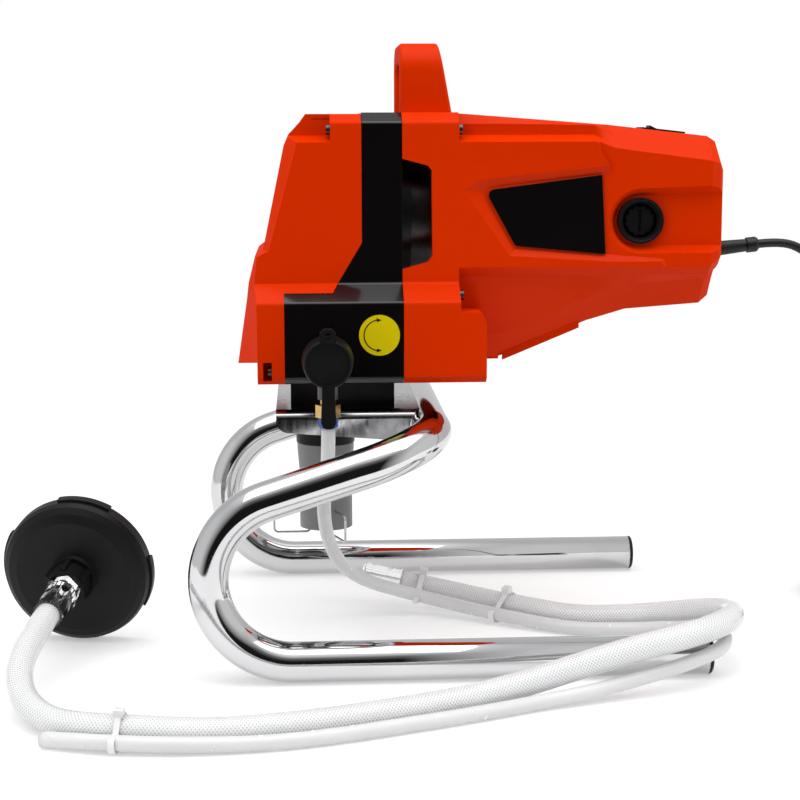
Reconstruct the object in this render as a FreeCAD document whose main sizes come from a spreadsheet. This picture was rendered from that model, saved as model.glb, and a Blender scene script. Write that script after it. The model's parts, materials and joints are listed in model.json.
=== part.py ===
import FreeCAD, Part
import math
import os
import Sketcher

# Airless paint sprayer on a bent tube stand.
# Millimetres and degrees. x runs to the rear, y away from the lever side, z up from the floor.
# The origin lies on the floor under the middle of the machine.

Vec = FreeCAD.Vector

SIZES = {
    # bent tube stand
    "tube_dia": 25.0,
    "tube_wall": 1.8,
    "skid_gap": 262.0,
    "front_bend": 52.0,
    "corner_bend": 50.0,
    "leg_slope": 18.0,
    "front_bend_x": -108.0,
    "cross_tube_x": -19.0,
    "skid_end_x": 149.5,
    "cap_lip": 2.5,
    "cap_plug": 12.0,
    # folded plate that carries the machine
    "plate_top": 159.0,
    "plate_thick": 3.0,
    "plate_half": 65.0,
    "plate_front_x": -118.5,
    "plate_bend": 6.0,
    "flange_front": 14.0,
    "flange_rear": 22.0,
    "weld_gap": 0.3,
    # outer section of the machine
    "body_base": 177.0,
    "base_chamfer": 4.0,
    "low_half": 75.0,
    "ledge_low": 229.0,
    "ledge_top": 240.5,
    "body_half": 60.0,
    "shoulder_top": 342.0,
    "crown_top": 348.3,
    "crown_half": 50.0,
    "section_round": 3.0,
    "seam_gap": 0.3,
    "housing_wall": 4.0,
    "shell_wall": 3.0,
    # gear housing, the black band
    "band_rear_x": -36.6,
    "band_front_x": -62.0,
    "band_low_x": -112.0,
    "band_low_top": 234.5,
    "seam_knee_x": -81.0,
    "seam_knee_top": 266.0,
    # front cover
    "brow_x": -97.5,
    "brow_drop": 1.8,
    "temple_x": -108.5,
    "temple_top": 334.5,
    "nose_top_x": -111.5,
    "nose_top": 327.5,
    "nose_low_x": -125.5,
    "nose_low": 261.5,
    "chin_x": -130.7,
    "chin_top": 257.5,
    "jaw_x": -135.0,
    "beak_x": -143.0,
    "beak_base": 187.0,
    "beak_half": 40.0,
    "beak_rise": 5.5,
    "cheek_set": 8.0,
    "front_flat": 50.0,
    "cover_low_x": -129.6,
    "notch_top": 334.0,
    "notch_low": 329.5,
    "notch_in": 48.0,
    "cover_notch_x": -82.0,
    # rear housing
    "shoulder_x": 0.0,
    "block_x": 16.6,
    "block_top": 222.5,
    "arm_x": 88.0,
    "flank_x": 100.0,
    "tail_x": 164.0,
    "tail_bend_x": 170.0,
    "tail_end_x": 172.5,
    "flank_top": 340.0,
    "tail_top": 332.8,
    "flank_edge": 323.0,
    "belly_start_x": 28.0,
    "belly_low": 187.5,
    "belly_mid": 211.5,
    "belly_fold_x": 114.0,
    "belly_fold": 219.0,
    "belly_tail": 222.5,
    "belly_half": 26.0,
    "girth_half": 42.0,
    "girth_top": 250.0,
    "tail_taper": 3.0,
    "pocket_deep": 3.0,
    "dial_slot_r": 16.0,
    "dial_slot_bevel": 7.0,
    "dial_slot_deep": 7.0,
    "lower_screw_z": 232.5,
    "lower_screw_y": 63.5,
    "upper_screw_z": 337.5,
    "upper_screw_y": 54.0,
    "cheek_screw_x": -120.5,
    "cheek_screw_y": 69.5,
    "cheek_screw_z": 185.0,
    "screw_head_r": 3.4,
    "screw_r": 1.9,
    # carrying handle
    "handle_half": 39.0,
    "handle_top": 392.8,
    "handle_leg": 12.5,
    "handle_bar": 13.0,
    "handle_base_x": -2.5,
    "handle_crest_x": -11.5,
    "handle_bend": 18.0,
    "handle_round": 2.2,
    "grip_bend": 9.0,
    # air window in both flanks
    "window_top": 319.5,
    "window_low": 248.6,
    "window_rear_x": -17.5,
    "window_slope": 4.7,
    # side panel
    "panel_thick": 1.6,
    "panel_corner": 4.0,
    # pump
    "pump_x": -86.0,
    "valve_x": -85.2,
    "block_front_x": -109.0,
    "block_rear_x": -41.0,
    "block_half": 42.0,
    "head_front_x": -104.0,
    "head_rear_x": -68.0,
    "head_half": 60.0,
    "head_top": 214.0,
    "piston_r": 8.0,
    "piston_low": 10.0,
    "slide_fit": 0.05,
    "part_fit": 0.1,
    "packing_r": 12.0,
    "packing_high": 8.0,
    "valve_z": 194.5,
    "port_r": 8.0,
    "bolt_r": 3.0,
    "bolt_head_r": 5.5,
    "bolt_head": 4.0,
    "bolt_x_gap": 52.0,
    "bolt_y_gap": 66.0,
    # suction inlet
    "inlet_r": 18.0,
    "inlet_base": 68.5,
    "inlet_wall": 2.8,
    "inlet_neck_r": 14.0,
    "inlet_flare_r": 19.3,
    "inlet_flare_z": 127.0,
    "skirt_top": 88.0,
    "socket_r": 9.3,
    "socket_long": 24.0,
    "collar_r": 19.9,
    "collar_high": 7.8,
    "seat_base": 139.0,
    "seat_high": 6.0,
    "seat_hole_r": 4.0,
    "inlet_ball_r": 6.0,
    "wire_r": 0.8,
    "clip_hinge_z": 81.5,
    "clip_drop": 17.5,
    "clip_out": 35.8,
    "clip_in": 11.2,
    "clip_bend": 2.6,
    "near_clip_angle": -70.0,
    # outlet on the far side
    "outlet_ball_r": 4.5,
    "outlet_seat_y": 30.0,
    "outlet_flange_r": 10.8,
    "outlet_flange_end": 79.0,
    "nipple_r": 6.4,
    "nipple_long": 15.0,
    "outlet_bore_r": 3.0,
    # priming valve and its lever knob
    "valve_face_y": -88.9,
    "valve_r": 10.8,
    "elbow_y": -82.0,
    "elbow_r": 6.5,
    "elbow_base": 169.0,
    "stem_r": 4.0,
    "knob_back_y": -89.5,
    "knob_face_y": -108.0,
    "knob_back_r": 16.4,
    "knob_face_r": 15.3,
    "knob_dish": 0.7,
    "lever_reach": 40.5,
    "lever_neck": 8.0,
    "lever_end": 9.4,
    "lever_thick": 8.0,
    "hex_r": 8.0,
    "hex_high": 8.0,
    "hex_top": 165.5,
    "blue_collar_r": 6.4,
    "blue_collar_high": 6.5,
    "label_x": -52.0,
    "label_z": 208.5,
    "label_r": 13.0,
    "label_thick": 0.4,
    # drive
    "crank_z": 250.0,
    "crank_throw": 4.0,
    "crank_shaft_r": 6.0,
    "bearing_r": 11.0,
    "bearing_long": 10.0,
    "idler_pin_r": 3.0,
    "crank_pin_r": 4.0,
    "crank_disc_r": 13.0,
    "roller_r": 7.0,
    "yoke_wall": 4.0,
    "yoke_gap": 1.3,
    "yoke_thick": 10.0,
    "motor_z": 284.0,
    "idler_y": 24.39,
    "idler_z": 278.49,
    "crank_teeth": 48.0,
    "idler_small_teeth": 12.0,
    "slow_module": 1.25,
    "idler_big_teeth": 40.0,
    "pinion_teeth": 10.0,
    "fast_module": 1.0,
    "slow_face": 8.0,
    "fast_face": 6.0,
    "gear_room_x": -58.0,
    # motor
    "can_r": 43.0,
    "can_wall": 2.5,
    "can_front_x": -29.5,
    "can_rear_x": 74.0,
    "ring_r": 46.0,
    "magnet_r": 27.0,
    "core_r": 26.0,
    "core_front_x": -14.0,
    "core_rear_x": 46.0,
    "core_slots": 12.0,
    "shaft_r": 4.0,
    "motor_bearing_r": 9.0,
    "commutator_r": 12.0,
    "fan_r": 38.0,
    "fan_blades": 9.0,
    "fan_x": 84.0,
    # controls
    "dial_x": 118.2,
    "dial_z": 278.8,
    "cup_r": 14.9,
    "cup_hole_r": 12.6,
    "cup_deep": 12.0,
    "cup_out": 5.5,
    "stem_hole_r": 2.5,
    "dial_r": 9.5,
    "dial_high": 5.0,
    "rocker_x": 141.0,
    "rocker_long": 22.0,
    "rocker_half": 6.5,
    "rocker_pin_r": 1.2,
    "rocker_pin_deep": 4.0,
    "bezel_rim": 2.5,
    "board_x": 106.0,
    "board_long": 48.0,
    "board_z": 236.0,
    "seat_gap": 0.3,
    # power cord
    "cord_dia": 6.0,
    "cord_z": 256.0,
    "relief_x": 201.0,
    "relief_tilt": 6.0,
    "relief_r": 4.3,
    "relief_base_r": 5.4,
    "relief_collar_x": 210.0,
    "relief_collar_r": 5.2,
    "coil_x": 307.0,
    "coil_y": 44.0,
    "coil_mid_r": 30.3,
    "coil_pitch": 6.7,
    "coil_rise": 6.7,
    "plug_r": 18.0,
    "plug_long": 34.0,
    "pin_r": 2.4,
    "pin_long": 19.0,
    "pin_gap": 19.0,
    # hoses
    "hose_dia": 16.0,
    "return_dia": 9.0,
    "tie_wide": 3.6,
    "tie_play": 0.5,
    # suction strainer
    "strainer_r": 49.0,
    "strainer_deep": 17.0,
    "strainer_wall": 3.0,
    "strainer_x": -252.0,
    "strainer_y": -42.0,
    "strainer_z": 49.2,
    "strainer_yaw": 10.0,
    "strainer_tilt": 11.0,
    "nut_r": 13.0,
    "nut_long": 15.0,
    "tail_hex_r": 11.6,
    "tail_hex_long": 6.0,
    "sleeve_r": 9.4,
    "lobe_turn": 50.0,
    "tail_end": 62.0,
}

doc = FreeCAD.newDocument("airless_sprayer")
sheet = doc.addObject("Spreadsheet::Sheet", "sizes")
for number, alias in enumerate(SIZES, 1):
    sheet.set("A%d" % number, alias)
    sheet.set("B%d" % number, str(SIZES[alias]))
    sheet.setAlias("B%d" % number, alias)
doc.recompute()


class Size:
    # A length or angle that knows its number and the sheet formula behind it
    def __init__(self, number, formula):
        self.number = float(number)
        self.formula = formula

    def __float__(self):
        return self.number

    def __add__(self, other):
        return joined(self, "+", other, self.number + float(other))

    def __radd__(self, other):
        return joined(other, "+", self, float(other) + self.number)

    def __sub__(self, other):
        return joined(self, "-", other, self.number - float(other))

    def __rsub__(self, other):
        return joined(other, "-", self, float(other) - self.number)

    def __mul__(self, other):
        return joined(self, "*", other, self.number * float(other))

    def __truediv__(self, other):
        return joined(self, "/", other, self.number / float(other))

    def __neg__(self):
        return joined(0, "-", self, -self.number)


def formula_of(value):
    return value.formula if isinstance(value, Size) else "%.6f" % float(value)


def joined(first, sign, second, number):
    return Size(number, "(%s %s %s)" % (formula_of(first), sign, formula_of(second)))


class Sheet:
    # Reads a size from the spreadsheet by its alias
    def __getattr__(self, alias):
        return Size(sheet.get(alias), "sizes." + alias)


s = Sheet()
nodes = []


def node(label, thing):
    # names one finished piece
    thing.Label = label
    nodes.append(thing)
    return thing


def bind(thing, name, value):
    # ties one property to its formula
    setattr(thing, name, float(value))
    if isinstance(value, Size):
        thing.setExpression(name, value.formula)


TURNS = {
    "+z": FreeCAD.Rotation(),
    "-z": FreeCAD.Rotation(Vec(1, 0, 0), 180),
    "+x": FreeCAD.Rotation(Vec(0, 1, 0), 90),
    "-x": FreeCAD.Rotation(Vec(0, 1, 0), -90),
    "+y": FreeCAD.Rotation(Vec(1, 0, 0), -90),
    "-y": FreeCAD.Rotation(Vec(1, 0, 0), 90),
}


def place(thing, x, y, z, axis="+z"):
    # puts a piece at a bound position with its own z along axis
    turn = TURNS[axis] if isinstance(axis, str) else axis
    thing.Placement = FreeCAD.Placement(Vec(float(x), float(y), float(z)), turn)
    for name, value in zip("xyz", (x, y, z)):
        if isinstance(value, Size):
            thing.setExpression("Placement.Base." + name, value.formula)
    return thing


def box(name, low, high):
    # a block between two corners
    thing = doc.addObject("Part::Box", name)
    for side, start, end in zip(("Length", "Width", "Height"), low, high):
        bind(thing, side, end - start)
    return place(thing, *low)


def rod(name, radius, length, x, y, z, axis="+z"):
    thing = doc.addObject("Part::Cylinder", name)
    bind(thing, "Radius", radius)
    bind(thing, "Height", length)
    return place(thing, x, y, z, axis)


def ball(name, radius, x, y, z):
    thing = doc.addObject("Part::Sphere", name)
    bind(thing, "Radius", radius)
    return place(thing, x, y, z)


def hexagon(name, radius, length, x, y, z, axis="+z"):
    # a six sided bar, its radius measured to the corners
    thing = doc.addObject("Part::Prism", name)
    thing.Polygon = 6
    bind(thing, "Circumradius", radius)
    bind(thing, "Height", length)
    return place(thing, x, y, z, axis)


def fuse(name, *parts):
    thing = doc.addObject("Part::MultiFuse", name)
    thing.Shapes = list(parts)
    return thing


def cut(name, base, *tools):
    thing = doc.addObject("Part::Cut", name)
    thing.Base = base
    thing.Tool = tools[0] if len(tools) == 1 else fuse(name + "_tools", *tools)
    return thing


def group(name, *parts):
    # several equal fasteners as separate solids under one name
    thing = doc.addObject("Part::Compound", name)
    thing.Links = list(parts)
    return thing


def shaped(name, shape):
    thing = doc.addObject("Part::Feature", name)
    thing.Shape = shape
    return thing


def origin_plane(body, role):
    return [plane for plane in body.Origin.OriginFeatures if plane.Role == role][0]


def sketched(body, role, outline):
    # a closed outline of straight lines, every corner held by two bound distances
    sketch = body.newObject("Sketcher::SketchObject", body.Name + "_sketch")
    sketch.AttachmentSupport = (origin_plane(body, role), [""])
    sketch.MapMode = "FlatFace"
    corners = [Vec(float(across), float(up), 0) for across, up in outline]
    count = len(corners)
    for index, corner in enumerate(corners):
        sketch.addGeometry(Part.LineSegment(corner, corners[(index + 1) % count]))
    for index in range(count):
        sketch.addConstraint(Sketcher.Constraint("Coincident", index, 2, (index + 1) % count, 1))
    for index, values in enumerate(outline):
        for kind, axis, value in zip(("DistanceX", "DistanceY"), (-2, -1), values):
            if abs(float(value)) < 1e-9:
                sketch.addConstraint(Sketcher.Constraint("PointOnObject", index, 1, axis))
                continue
            held = sketch.addConstraint(Sketcher.Constraint(kind, -1, 1, index, 1, float(value)))
            if isinstance(value, Size):
                sketch.setExpression("Constraints[%d]" % held, value.formula)
    return sketch


def turned(name, outline, x, y, z, axis="+z"):
    # a body turned about its own z from (radius, height) corners
    body = doc.addObject("PartDesign::Body", name)
    sketch = sketched(body, "XZ_Plane", outline)
    turn = body.newObject("PartDesign::Revolution", name + "_turn")
    turn.Profile = sketch
    turn.ReferenceAxis = (sketch, ["V_Axis"])
    turn.Angle = 360
    return place(body, x, y, z, axis)


def padded(name, outline, thickness, x, y, z, axis="+z"):
    # a body of one flat outline, thickness along its own z
    body = doc.addObject("PartDesign::Body", name)
    sketch = sketched(body, "XY_Plane", outline)
    pad = body.newObject("PartDesign::Pad", name + "_pad")
    pad.Profile = sketch
    bind(pad, "Length", thickness)
    return place(body, x, y, z, axis)


def wire_of(points):
    return Part.makePolygon(points + [points[0]])


def prism(points, way):
    # a flat outline pushed along one vector
    return Part.Face(wire_of(points)).extrude(way)


def arc_edge(start, middle, end):
    return Part.Arc(start, middle, end).toShape()


def rounded_wire(points, radii):
    # a closed outline with each corner rounded by its own radius
    edges = []
    joints = []
    count = len(points)
    for index, corner in enumerate(points):
        before = (points[index - 1] - corner).normalize()
        after = (points[(index + 1) % count] - corner).normalize()
        radius = radii[index]
        if radius <= 0:
            joints.append((corner, corner, corner))
            continue
        half = before.getAngle(after) / 2
        start = corner + before * (radius / math.tan(half))
        end = corner + after * (radius / math.tan(half))
        inward = (before + after).normalize()
        middle = corner + inward * (radius / math.sin(half) - radius)
        joints.append((start, middle, end))
    for index, (start, middle, end) in enumerate(joints):
        if (start - end).Length > 1e-6:
            edges.append(arc_edge(start, middle, end))
        edges.append(Part.LineSegment(end, joints[(index + 1) % count][0]).toShape())
    return Part.Wire(edges)


def tube_along(path, start, way, radius):
    # a round bar swept along a smooth path
    ring = Part.Wire([Part.makeCircle(float(radius), start, way)])
    return path.makePipeShell([ring], True, False)


def soft_path(points, lead=0.45):
    # straight runs joined by tangent arcs, each as wide as its runs allow
    edges = []
    radii = []
    last = points[0]
    for index in range(1, len(points) - 1):
        corner = points[index]
        back = points[index - 1] - corner
        ahead = points[index + 1] - corner
        half_turn = (math.pi - back.getAngle(ahead)) / 2
        reach = lead * min(back.Length, ahead.Length)
        radii.append(reach / math.tan(half_turn))
        back.normalize()
        ahead.normalize()
        start = corner + back * reach
        end = corner + ahead * reach
        inward = (back + ahead).normalize()
        middle = corner + inward * (radii[-1] / math.cos(half_turn) - radii[-1])
        edges.append(Part.LineSegment(last, start).toShape())
        edges.append(arc_edge(start, middle, end))
        last = end
    edges.append(Part.LineSegment(last, points[-1]).toShape())
    return Part.Wire(edges), radii


def cord_solid(name, points, dia):
    # the free stretch of a cord as a plain round bar
    path, radii = soft_path(points)
    solid = tube_along(path, points[0], points[1] - points[0], dia / 2)
    share = solid.Volume / (math.pi * float(dia) ** 2 / 4 * path.Length)
    print(name, "length %.0f, volume share %.3f" % (path.Length, share))
    print(name, "radii", " ".join("%.0f" % radius for radius in radii))
    return shaped(name, solid)


# Stand: one tube bent in four places, closed by caps, with a folded plate on its cross part
def stand_path():
    reach = float(s.tube_dia) / 2
    half = float(s.skid_gap) / 2
    bend = float(s.front_bend)
    corner = float(s.corner_bend)
    slope = math.radians(float(s.leg_slope))
    bend_x = float(s.front_bend_x)
    cross_x = float(s.cross_tube_x)
    up = Vec(math.cos(slope), 0, math.sin(slope))
    edges = []
    for side in (-1, 1):
        across = Vec(0, -side, 0)
        centre = Vec(bend_x, side * half, reach + bend)
        end = Vec(float(s.skid_end_x), side * half, reach)
        low = centre - Vec(0, 0, bend)
        top = centre + Vec(-math.sin(slope), 0, math.cos(slope)) * bend
        middle_angle = math.pi + slope / 2
        front = centre + Vec(math.cos(middle_angle), 0, math.sin(middle_angle)) * bend
        tip = top + up * ((cross_x - top.x) / math.cos(slope))
        leg_end = tip - up * corner
        cross_end = tip + across * corner
        hub = leg_end + across * corner
        bulge = hub + (up - across).normalize() * corner
        edges.append(Part.LineSegment(end, low).toShape())
        edges.append(arc_edge(low, front, top))
        edges.append(Part.LineSegment(top, leg_end).toShape())
        edges.append(arc_edge(leg_end, bulge, cross_end))
        if side < 0:
            edges.append(Part.LineSegment(cross_end, cross_end + Vec(0, 2 * (half - corner), 0)).toShape())
    return Part.Wire(Part.sortEdges(edges)[0])


def cross_tube_z():
    # height of the cross part's axis, where the sloping legs reach it
    slope = math.radians(float(s.leg_slope))
    top_x = float(s.front_bend_x) - math.sin(slope) * float(s.front_bend)
    top_z = float(s.tube_dia) / 2 + (1 + math.cos(slope)) * float(s.front_bend)
    return top_z + (float(s.cross_tube_x) - top_x) * math.tan(slope)


def make_stand():
    path = stand_path()
    start = Vec(float(s.skid_end_x), -float(s.skid_gap) / 2, float(s.tube_dia) / 2)
    if (path.Vertexes[0].Point - start).Length > 0.01:
        start.y = -start.y
    outer = tube_along(path, start, Vec(1, 0, 0), s.tube_dia / 2)
    inner = tube_along(path, start, Vec(1, 0, 0), s.tube_dia / 2 - s.tube_wall)
    node("stand_tube", shaped("stand_tube", outer.cut(inner)))

    bore = s.tube_dia / 2 - s.tube_wall - s.part_fit
    rim = s.tube_dia / 2
    outline = [(0, 0), (bore - 0.6, 0), (bore, 1.5), (bore, s.cap_plug), (rim, s.cap_plug),
               (rim, s.cap_plug + s.cap_lip - 1), (rim - 1, s.cap_plug + s.cap_lip),
               (0, s.cap_plug + s.cap_lip)]
    caps = []
    for name, side in (("near", -1), ("far", 1)):
        caps.append(turned("end_cap_" + name, outline, s.skid_end_x - s.cap_plug,
                           s.skid_gap * side / 2, s.tube_dia / 2, "+x"))
    node("stand_end_caps", group("stand_end_caps", *caps))


def make_plate():
    top = float(s.plate_top)
    thick = float(s.plate_thick)
    half = float(s.plate_half)
    bend = float(s.plate_bend)
    front = float(s.plate_front_x)
    rear = float(s.cross_tube_x)
    low = top - float(s.flange_rear)
    inner = half - thick
    section = [Vec(front, -half, low), Vec(front, -half, top), Vec(front, half, top), Vec(front, half, low),
               Vec(front, inner, low), Vec(front, inner, top - thick),
               Vec(front, -inner, top - thick), Vec(front, -inner, low)]
    bends = [0, bend, bend, 0, 0, bend - thick, bend - thick, 0]
    channel = Part.Face(rounded_wire(section, bends)).extrude(Vec(rear - front, 0, 0))
    side = [Vec(front, -half - 1, top + 1), Vec(rear, -half - 1, top + 1), Vec(rear, -half - 1, low),
            Vec(front, -half - 1, top - float(s.flange_front))]
    window = Part.Face(rounded_wire(side, [0, 0, 0, 8])).extrude(Vec(0, 2 * half + 2, 0))
    plate = channel.common(window)
    hug = float(s.tube_dia) / 2 + float(s.weld_gap)
    tube = Part.makeCylinder(hug, 2 * half + 20, Vec(rear, -half - 10, cross_tube_z()), Vec(0, 1, 0))
    inlet_hole = Part.makeCylinder(float(s.collar_r) + 2, 20, Vec(float(s.pump_x), 0, top - 10))
    holes = [tube, inlet_hole]
    for x, y in bolt_places():
        holes.append(Part.makeCylinder(float(s.bolt_r + s.part_fit * 2), 20, Vec(float(x), float(y), top - 10)))
    node("stand_plate", shaped("stand_plate", plate.cut(holes)))


def bolt_places():
    middle = (s.block_front_x + s.block_rear_x) / 2
    return [(middle + s.bolt_x_gap * along / 2, s.bolt_y_gap * across / 2)
            for along in (-1, 1) for across in (-1, 1)]


def make_pump_bolts():
    # four hexagon bolts from below through the plate into the pump
    bolts = []
    under = s.plate_top - s.plate_thick
    for index, (x, y) in enumerate(bolt_places()):
        head = hexagon("bolt_head_%d" % index, s.bolt_head_r, s.bolt_head, x, y, under - s.bolt_head)
        shank = rod("bolt_shank_%d" % index, s.bolt_r, s.plate_thick + 12, x, y, under)
        bolts.append(fuse("bolt_%d" % index, head, shank))
    node("pump_bolts", group("pump_bolts", *bolts))


# Outer section shared by the gear housing, the front cover and the rear shoulder
def body_section(x, inset=0.0):
    # half outline in y and z, then its mirror image
    base = float(s.body_base)
    half_points = [
        (float(s.low_half) - float(s.base_chamfer) - inset / 2, base),
        (float(s.low_half) - inset, base + float(s.base_chamfer)),
        (float(s.low_half) - inset, float(s.ledge_low) - inset / 2),
        (float(s.body_half) - inset, float(s.ledge_top) - inset / 2),
        (float(s.body_half) - inset, float(s.shoulder_top) - inset / 2),
        (float(s.crown_half) - inset / 2, float(s.crown_top) - inset),
    ]
    right = [Vec(x, y, z) for y, z in half_points]
    left = [Vec(x, -y, z) for y, z in reversed(half_points)]
    return right + left


def section_bar(start_x, long, inset=0.0):
    # the outer section with rounded corners, pushed along x
    corner = float(s.section_round)
    outline = rounded_wire(body_section(start_x, inset), [corner] * 12)
    return Part.Face(outline).extrude(Vec(long, 0, 0))


def seam_profile(grow=0.0):
    # side outline of the gear housing, seen from the lever side
    top = float(s.crown_top) + 5
    base = float(s.body_base) - 5
    rear = float(s.band_rear_x)
    return [(rear, base), (rear, top), (float(s.band_front_x) - grow, top),
            (float(s.band_front_x) - grow, float(s.seam_knee_top) + grow / 2),
            (float(s.seam_knee_x) - grow / 2, float(s.band_low_top) + grow),
            (float(s.band_low_x) - grow, float(s.band_low_top) + grow),
            (float(s.band_low_x) - grow, base)]


def side_prism(outline):
    reach = float(s.low_half) + 20
    return prism([Vec(x, -reach, z) for x, z in outline], Vec(0, 2 * reach, 0))


def make_gear_housing():
    front = float(s.band_low_x)
    rear = float(s.band_rear_x)
    wall = float(s.housing_wall)
    block = section_bar(front, rear - front).common(side_prism(seam_profile()))
    block = block.removeSplitter()
    crank_z = float(s.crank_z)
    lip = float(s.band_front_x)
    rooms = []
    # gear room, open to the motor
    room_x = float(s.gear_room_x)
    slow_r = float(s.crank_teeth * s.slow_module / 2) + 4
    fast_r = float(s.idler_big_teeth * s.fast_module / 2) + 3
    for y, z, radius in ((0, crank_z, slow_r), (float(s.idler_y), float(s.idler_z), fast_r),
                         (0, float(s.motor_z), 14)):
        rooms.append(Part.makeCylinder(radius, rear - room_x + 1, Vec(room_x, y, z), Vec(1, 0, 0)))
    # crank room, open to the front cover
    half = float(s.crank_disc_r) + float(s.crank_throw) + 16
    rooms.append(Part.makeBox(lip - front + 1, 2 * half, 140, Vec(front - 1, -half, float(s.head_top) + 2)))
    # pump room, open below
    pump_half = float(s.head_half) + 2
    base = float(s.body_base)
    rooms.append(Part.makeBox(float(s.head_rear_x) + 3 - front - wall, 2 * pump_half,
                              float(s.head_top) + 3 - base, Vec(front + wall, -pump_half, base - 1)))
    rooms.append(Part.makeBox(rear - wall - float(s.head_rear_x) - 7, 2 * pump_half, 34,
                              Vec(float(s.head_rear_x) + 7, -pump_half, base - 1)))
    for way in (-1, 1):
        rooms.append(Part.makeCylinder(float(s.valve_r) + 0.4, 20,
                                       Vec(float(s.valve_x), way * (pump_half - 2), float(s.valve_z)),
                                       Vec(0, way, 0)))
    housing = block.cut(rooms)
    # boss of the crank bearing
    boss = Part.makeCylinder(float(s.bearing_r) + 3, float(s.bearing_long) - wall,
                             Vec(lip + wall - float(s.bearing_long), 0, crank_z), Vec(1, 0, 0))
    housing = housing.fuse(boss)
    pin = Part.makeCylinder(float(s.idler_pin_r), rear - room_x + 1,
                            Vec(room_x - 1, float(s.idler_y), float(s.idler_z)), Vec(1, 0, 0))
    housing = housing.fuse(pin)
    holes = [Part.makeCylinder(float(s.bearing_r) + 0.05, 30, Vec(lip - 15, 0, crank_z), Vec(1, 0, 0))]
    thread = float(s.screw_r) + 0.05
    for way in (-1, 1):
        for x, y, z in ((lip - 1, s.upper_screw_y, s.upper_screw_z), (rear - 11, s.upper_screw_y, s.upper_screw_z),
                        (rear - 13, s.lower_screw_y, s.lower_screw_z), (front - 1, s.cheek_screw_y, s.cheek_screw_z)):
            holes.append(Part.makeCylinder(thread, 14, Vec(x, way * float(y), float(z)), Vec(1, 0, 0)))
    node("gear_housing", shaped("gear_housing", housing.cut(holes).removeSplitter()))


def cover_level(z, half, rear_x, edge_x, front_x, flat):
    return wire_of([Vec(rear_x, -half, z), Vec(edge_x, -half, z), Vec(front_x, -flat, z),
                    Vec(front_x, flat, z), Vec(edge_x, half, z), Vec(rear_x, half, z)])


def cover_skin(inset):
    # levels of the front cover from top to bottom, drawn in by the wall where inset
    rear = float(s.band_rear_x)
    upper = float(s.body_half) - inset
    lower = float(s.low_half) - inset
    crown = float(s.crown_half) - inset / 2
    flat = float(s.front_flat) - inset
    beak_flat = float(s.beak_half) - inset / 2
    set_in = float(s.cheek_set)
    levels = [
        (float(s.crown_top) - float(s.brow_drop) / 2 - inset, crown, float(s.brow_x) + set_in / 3, float(s.brow_x)),
        (float(s.shoulder_top) - inset, upper, float(s.brow_x) + set_in / 4, float(s.brow_x) - 4),
        (float(s.temple_top) - inset / 2, upper, float(s.temple_x) + set_in, float(s.temple_x)),
        (float(s.nose_top), upper, float(s.nose_top_x) + set_in, float(s.nose_top_x)),
        (float(s.nose_low), upper, float(s.nose_low_x) + set_in / 2, float(s.nose_low_x)),
        (float(s.chin_top), upper, float(s.chin_x) + 1.5, float(s.chin_x)),
        (float(s.ledge_top), upper, float(s.jaw_x) + set_in / 2, float(s.jaw_x)),
        (float(s.ledge_low), lower, float(s.cover_low_x), float(s.jaw_x) - 1.6),
        (float(s.beak_base) + inset, lower, float(s.cover_low_x), float(s.beak_x)),
    ]
    wires = []
    for z, half, edge_x, front_x in levels:
        low = z < float(s.ledge_top) - 1
        wires.append(cover_level(z, half, rear, edge_x + inset, front_x + inset, beak_flat if low else flat))
    return Part.makeLoft(wires, True, True)


def beak_wedges(lift):
    # what the slanting underside takes off beside the middle of the beak
    flat = float(s.beak_half)
    half = float(s.low_half) + 5
    low = float(s.beak_base) + lift
    high = low + float(s.beak_rise) * (half - flat) / (float(s.low_half) - flat)
    wedges = []
    for way in (-1, 1):
        outline = [Vec(-160, way * flat, low), Vec(-160, way * half, high), Vec(-160, way * half, low - 12),
                   Vec(-160, way * flat, low - 12)]
        wedges.append(prism(outline, Vec(150, 0, 0)))
    return wedges


def make_front_cover():
    wall = float(s.shell_wall)
    low_x = float(s.cover_low_x)
    base = float(s.body_base)
    skin = cover_skin(0).cut(beak_wedges(0))
    chin = Part.makeBox(float(s.band_rear_x) - low_x, 2 * float(s.low_half),
                        float(s.beak_base) - base + float(s.beak_rise) + 1, Vec(low_x, -float(s.low_half), base))
    outer = skin.fuse(chin).common(section_bar(-160, 150))
    chin_room = Part.makeBox(60, 2 * (float(s.low_half) - wall), float(s.beak_base) - base + wall + 2,
                             Vec(low_x + wall, -float(s.low_half) + wall, base - 1))
    shell = outer.cut([cover_skin(wall).cut(beak_wedges(wall)), chin_room])
    shell = shell.cut(side_prism(seam_profile(float(s.seam_gap))))
    # screw notches beside the crown
    for way in (-1, 1):
        shell = shell.fuse(notch_wall(way))
        shell = shell.cut(notch(float(s.brow_x) - 30, float(s.cover_notch_x), way))
        shell = shell.cut(Part.makeCylinder(float(s.screw_r) + 0.3, 40,
                                            Vec(float(s.cover_notch_x) - 1, way * float(s.upper_screw_y),
                                                float(s.upper_screw_z)), Vec(1, 0, 0)))
        block, slot = cheek_boss(way)
        shell = shell.fuse(block.common(outer)).cut(slot)
        shell = shell.cut(Part.makeCylinder(float(s.screw_r) + 0.3, 20,
                                            Vec(float(s.cheek_screw_x) - 1, way * float(s.cheek_screw_y),
                                                float(s.cheek_screw_z)), Vec(1, 0, 0)))
    node("front_cover", shaped("front_cover", largest(shell.removeSplitter())))


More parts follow.
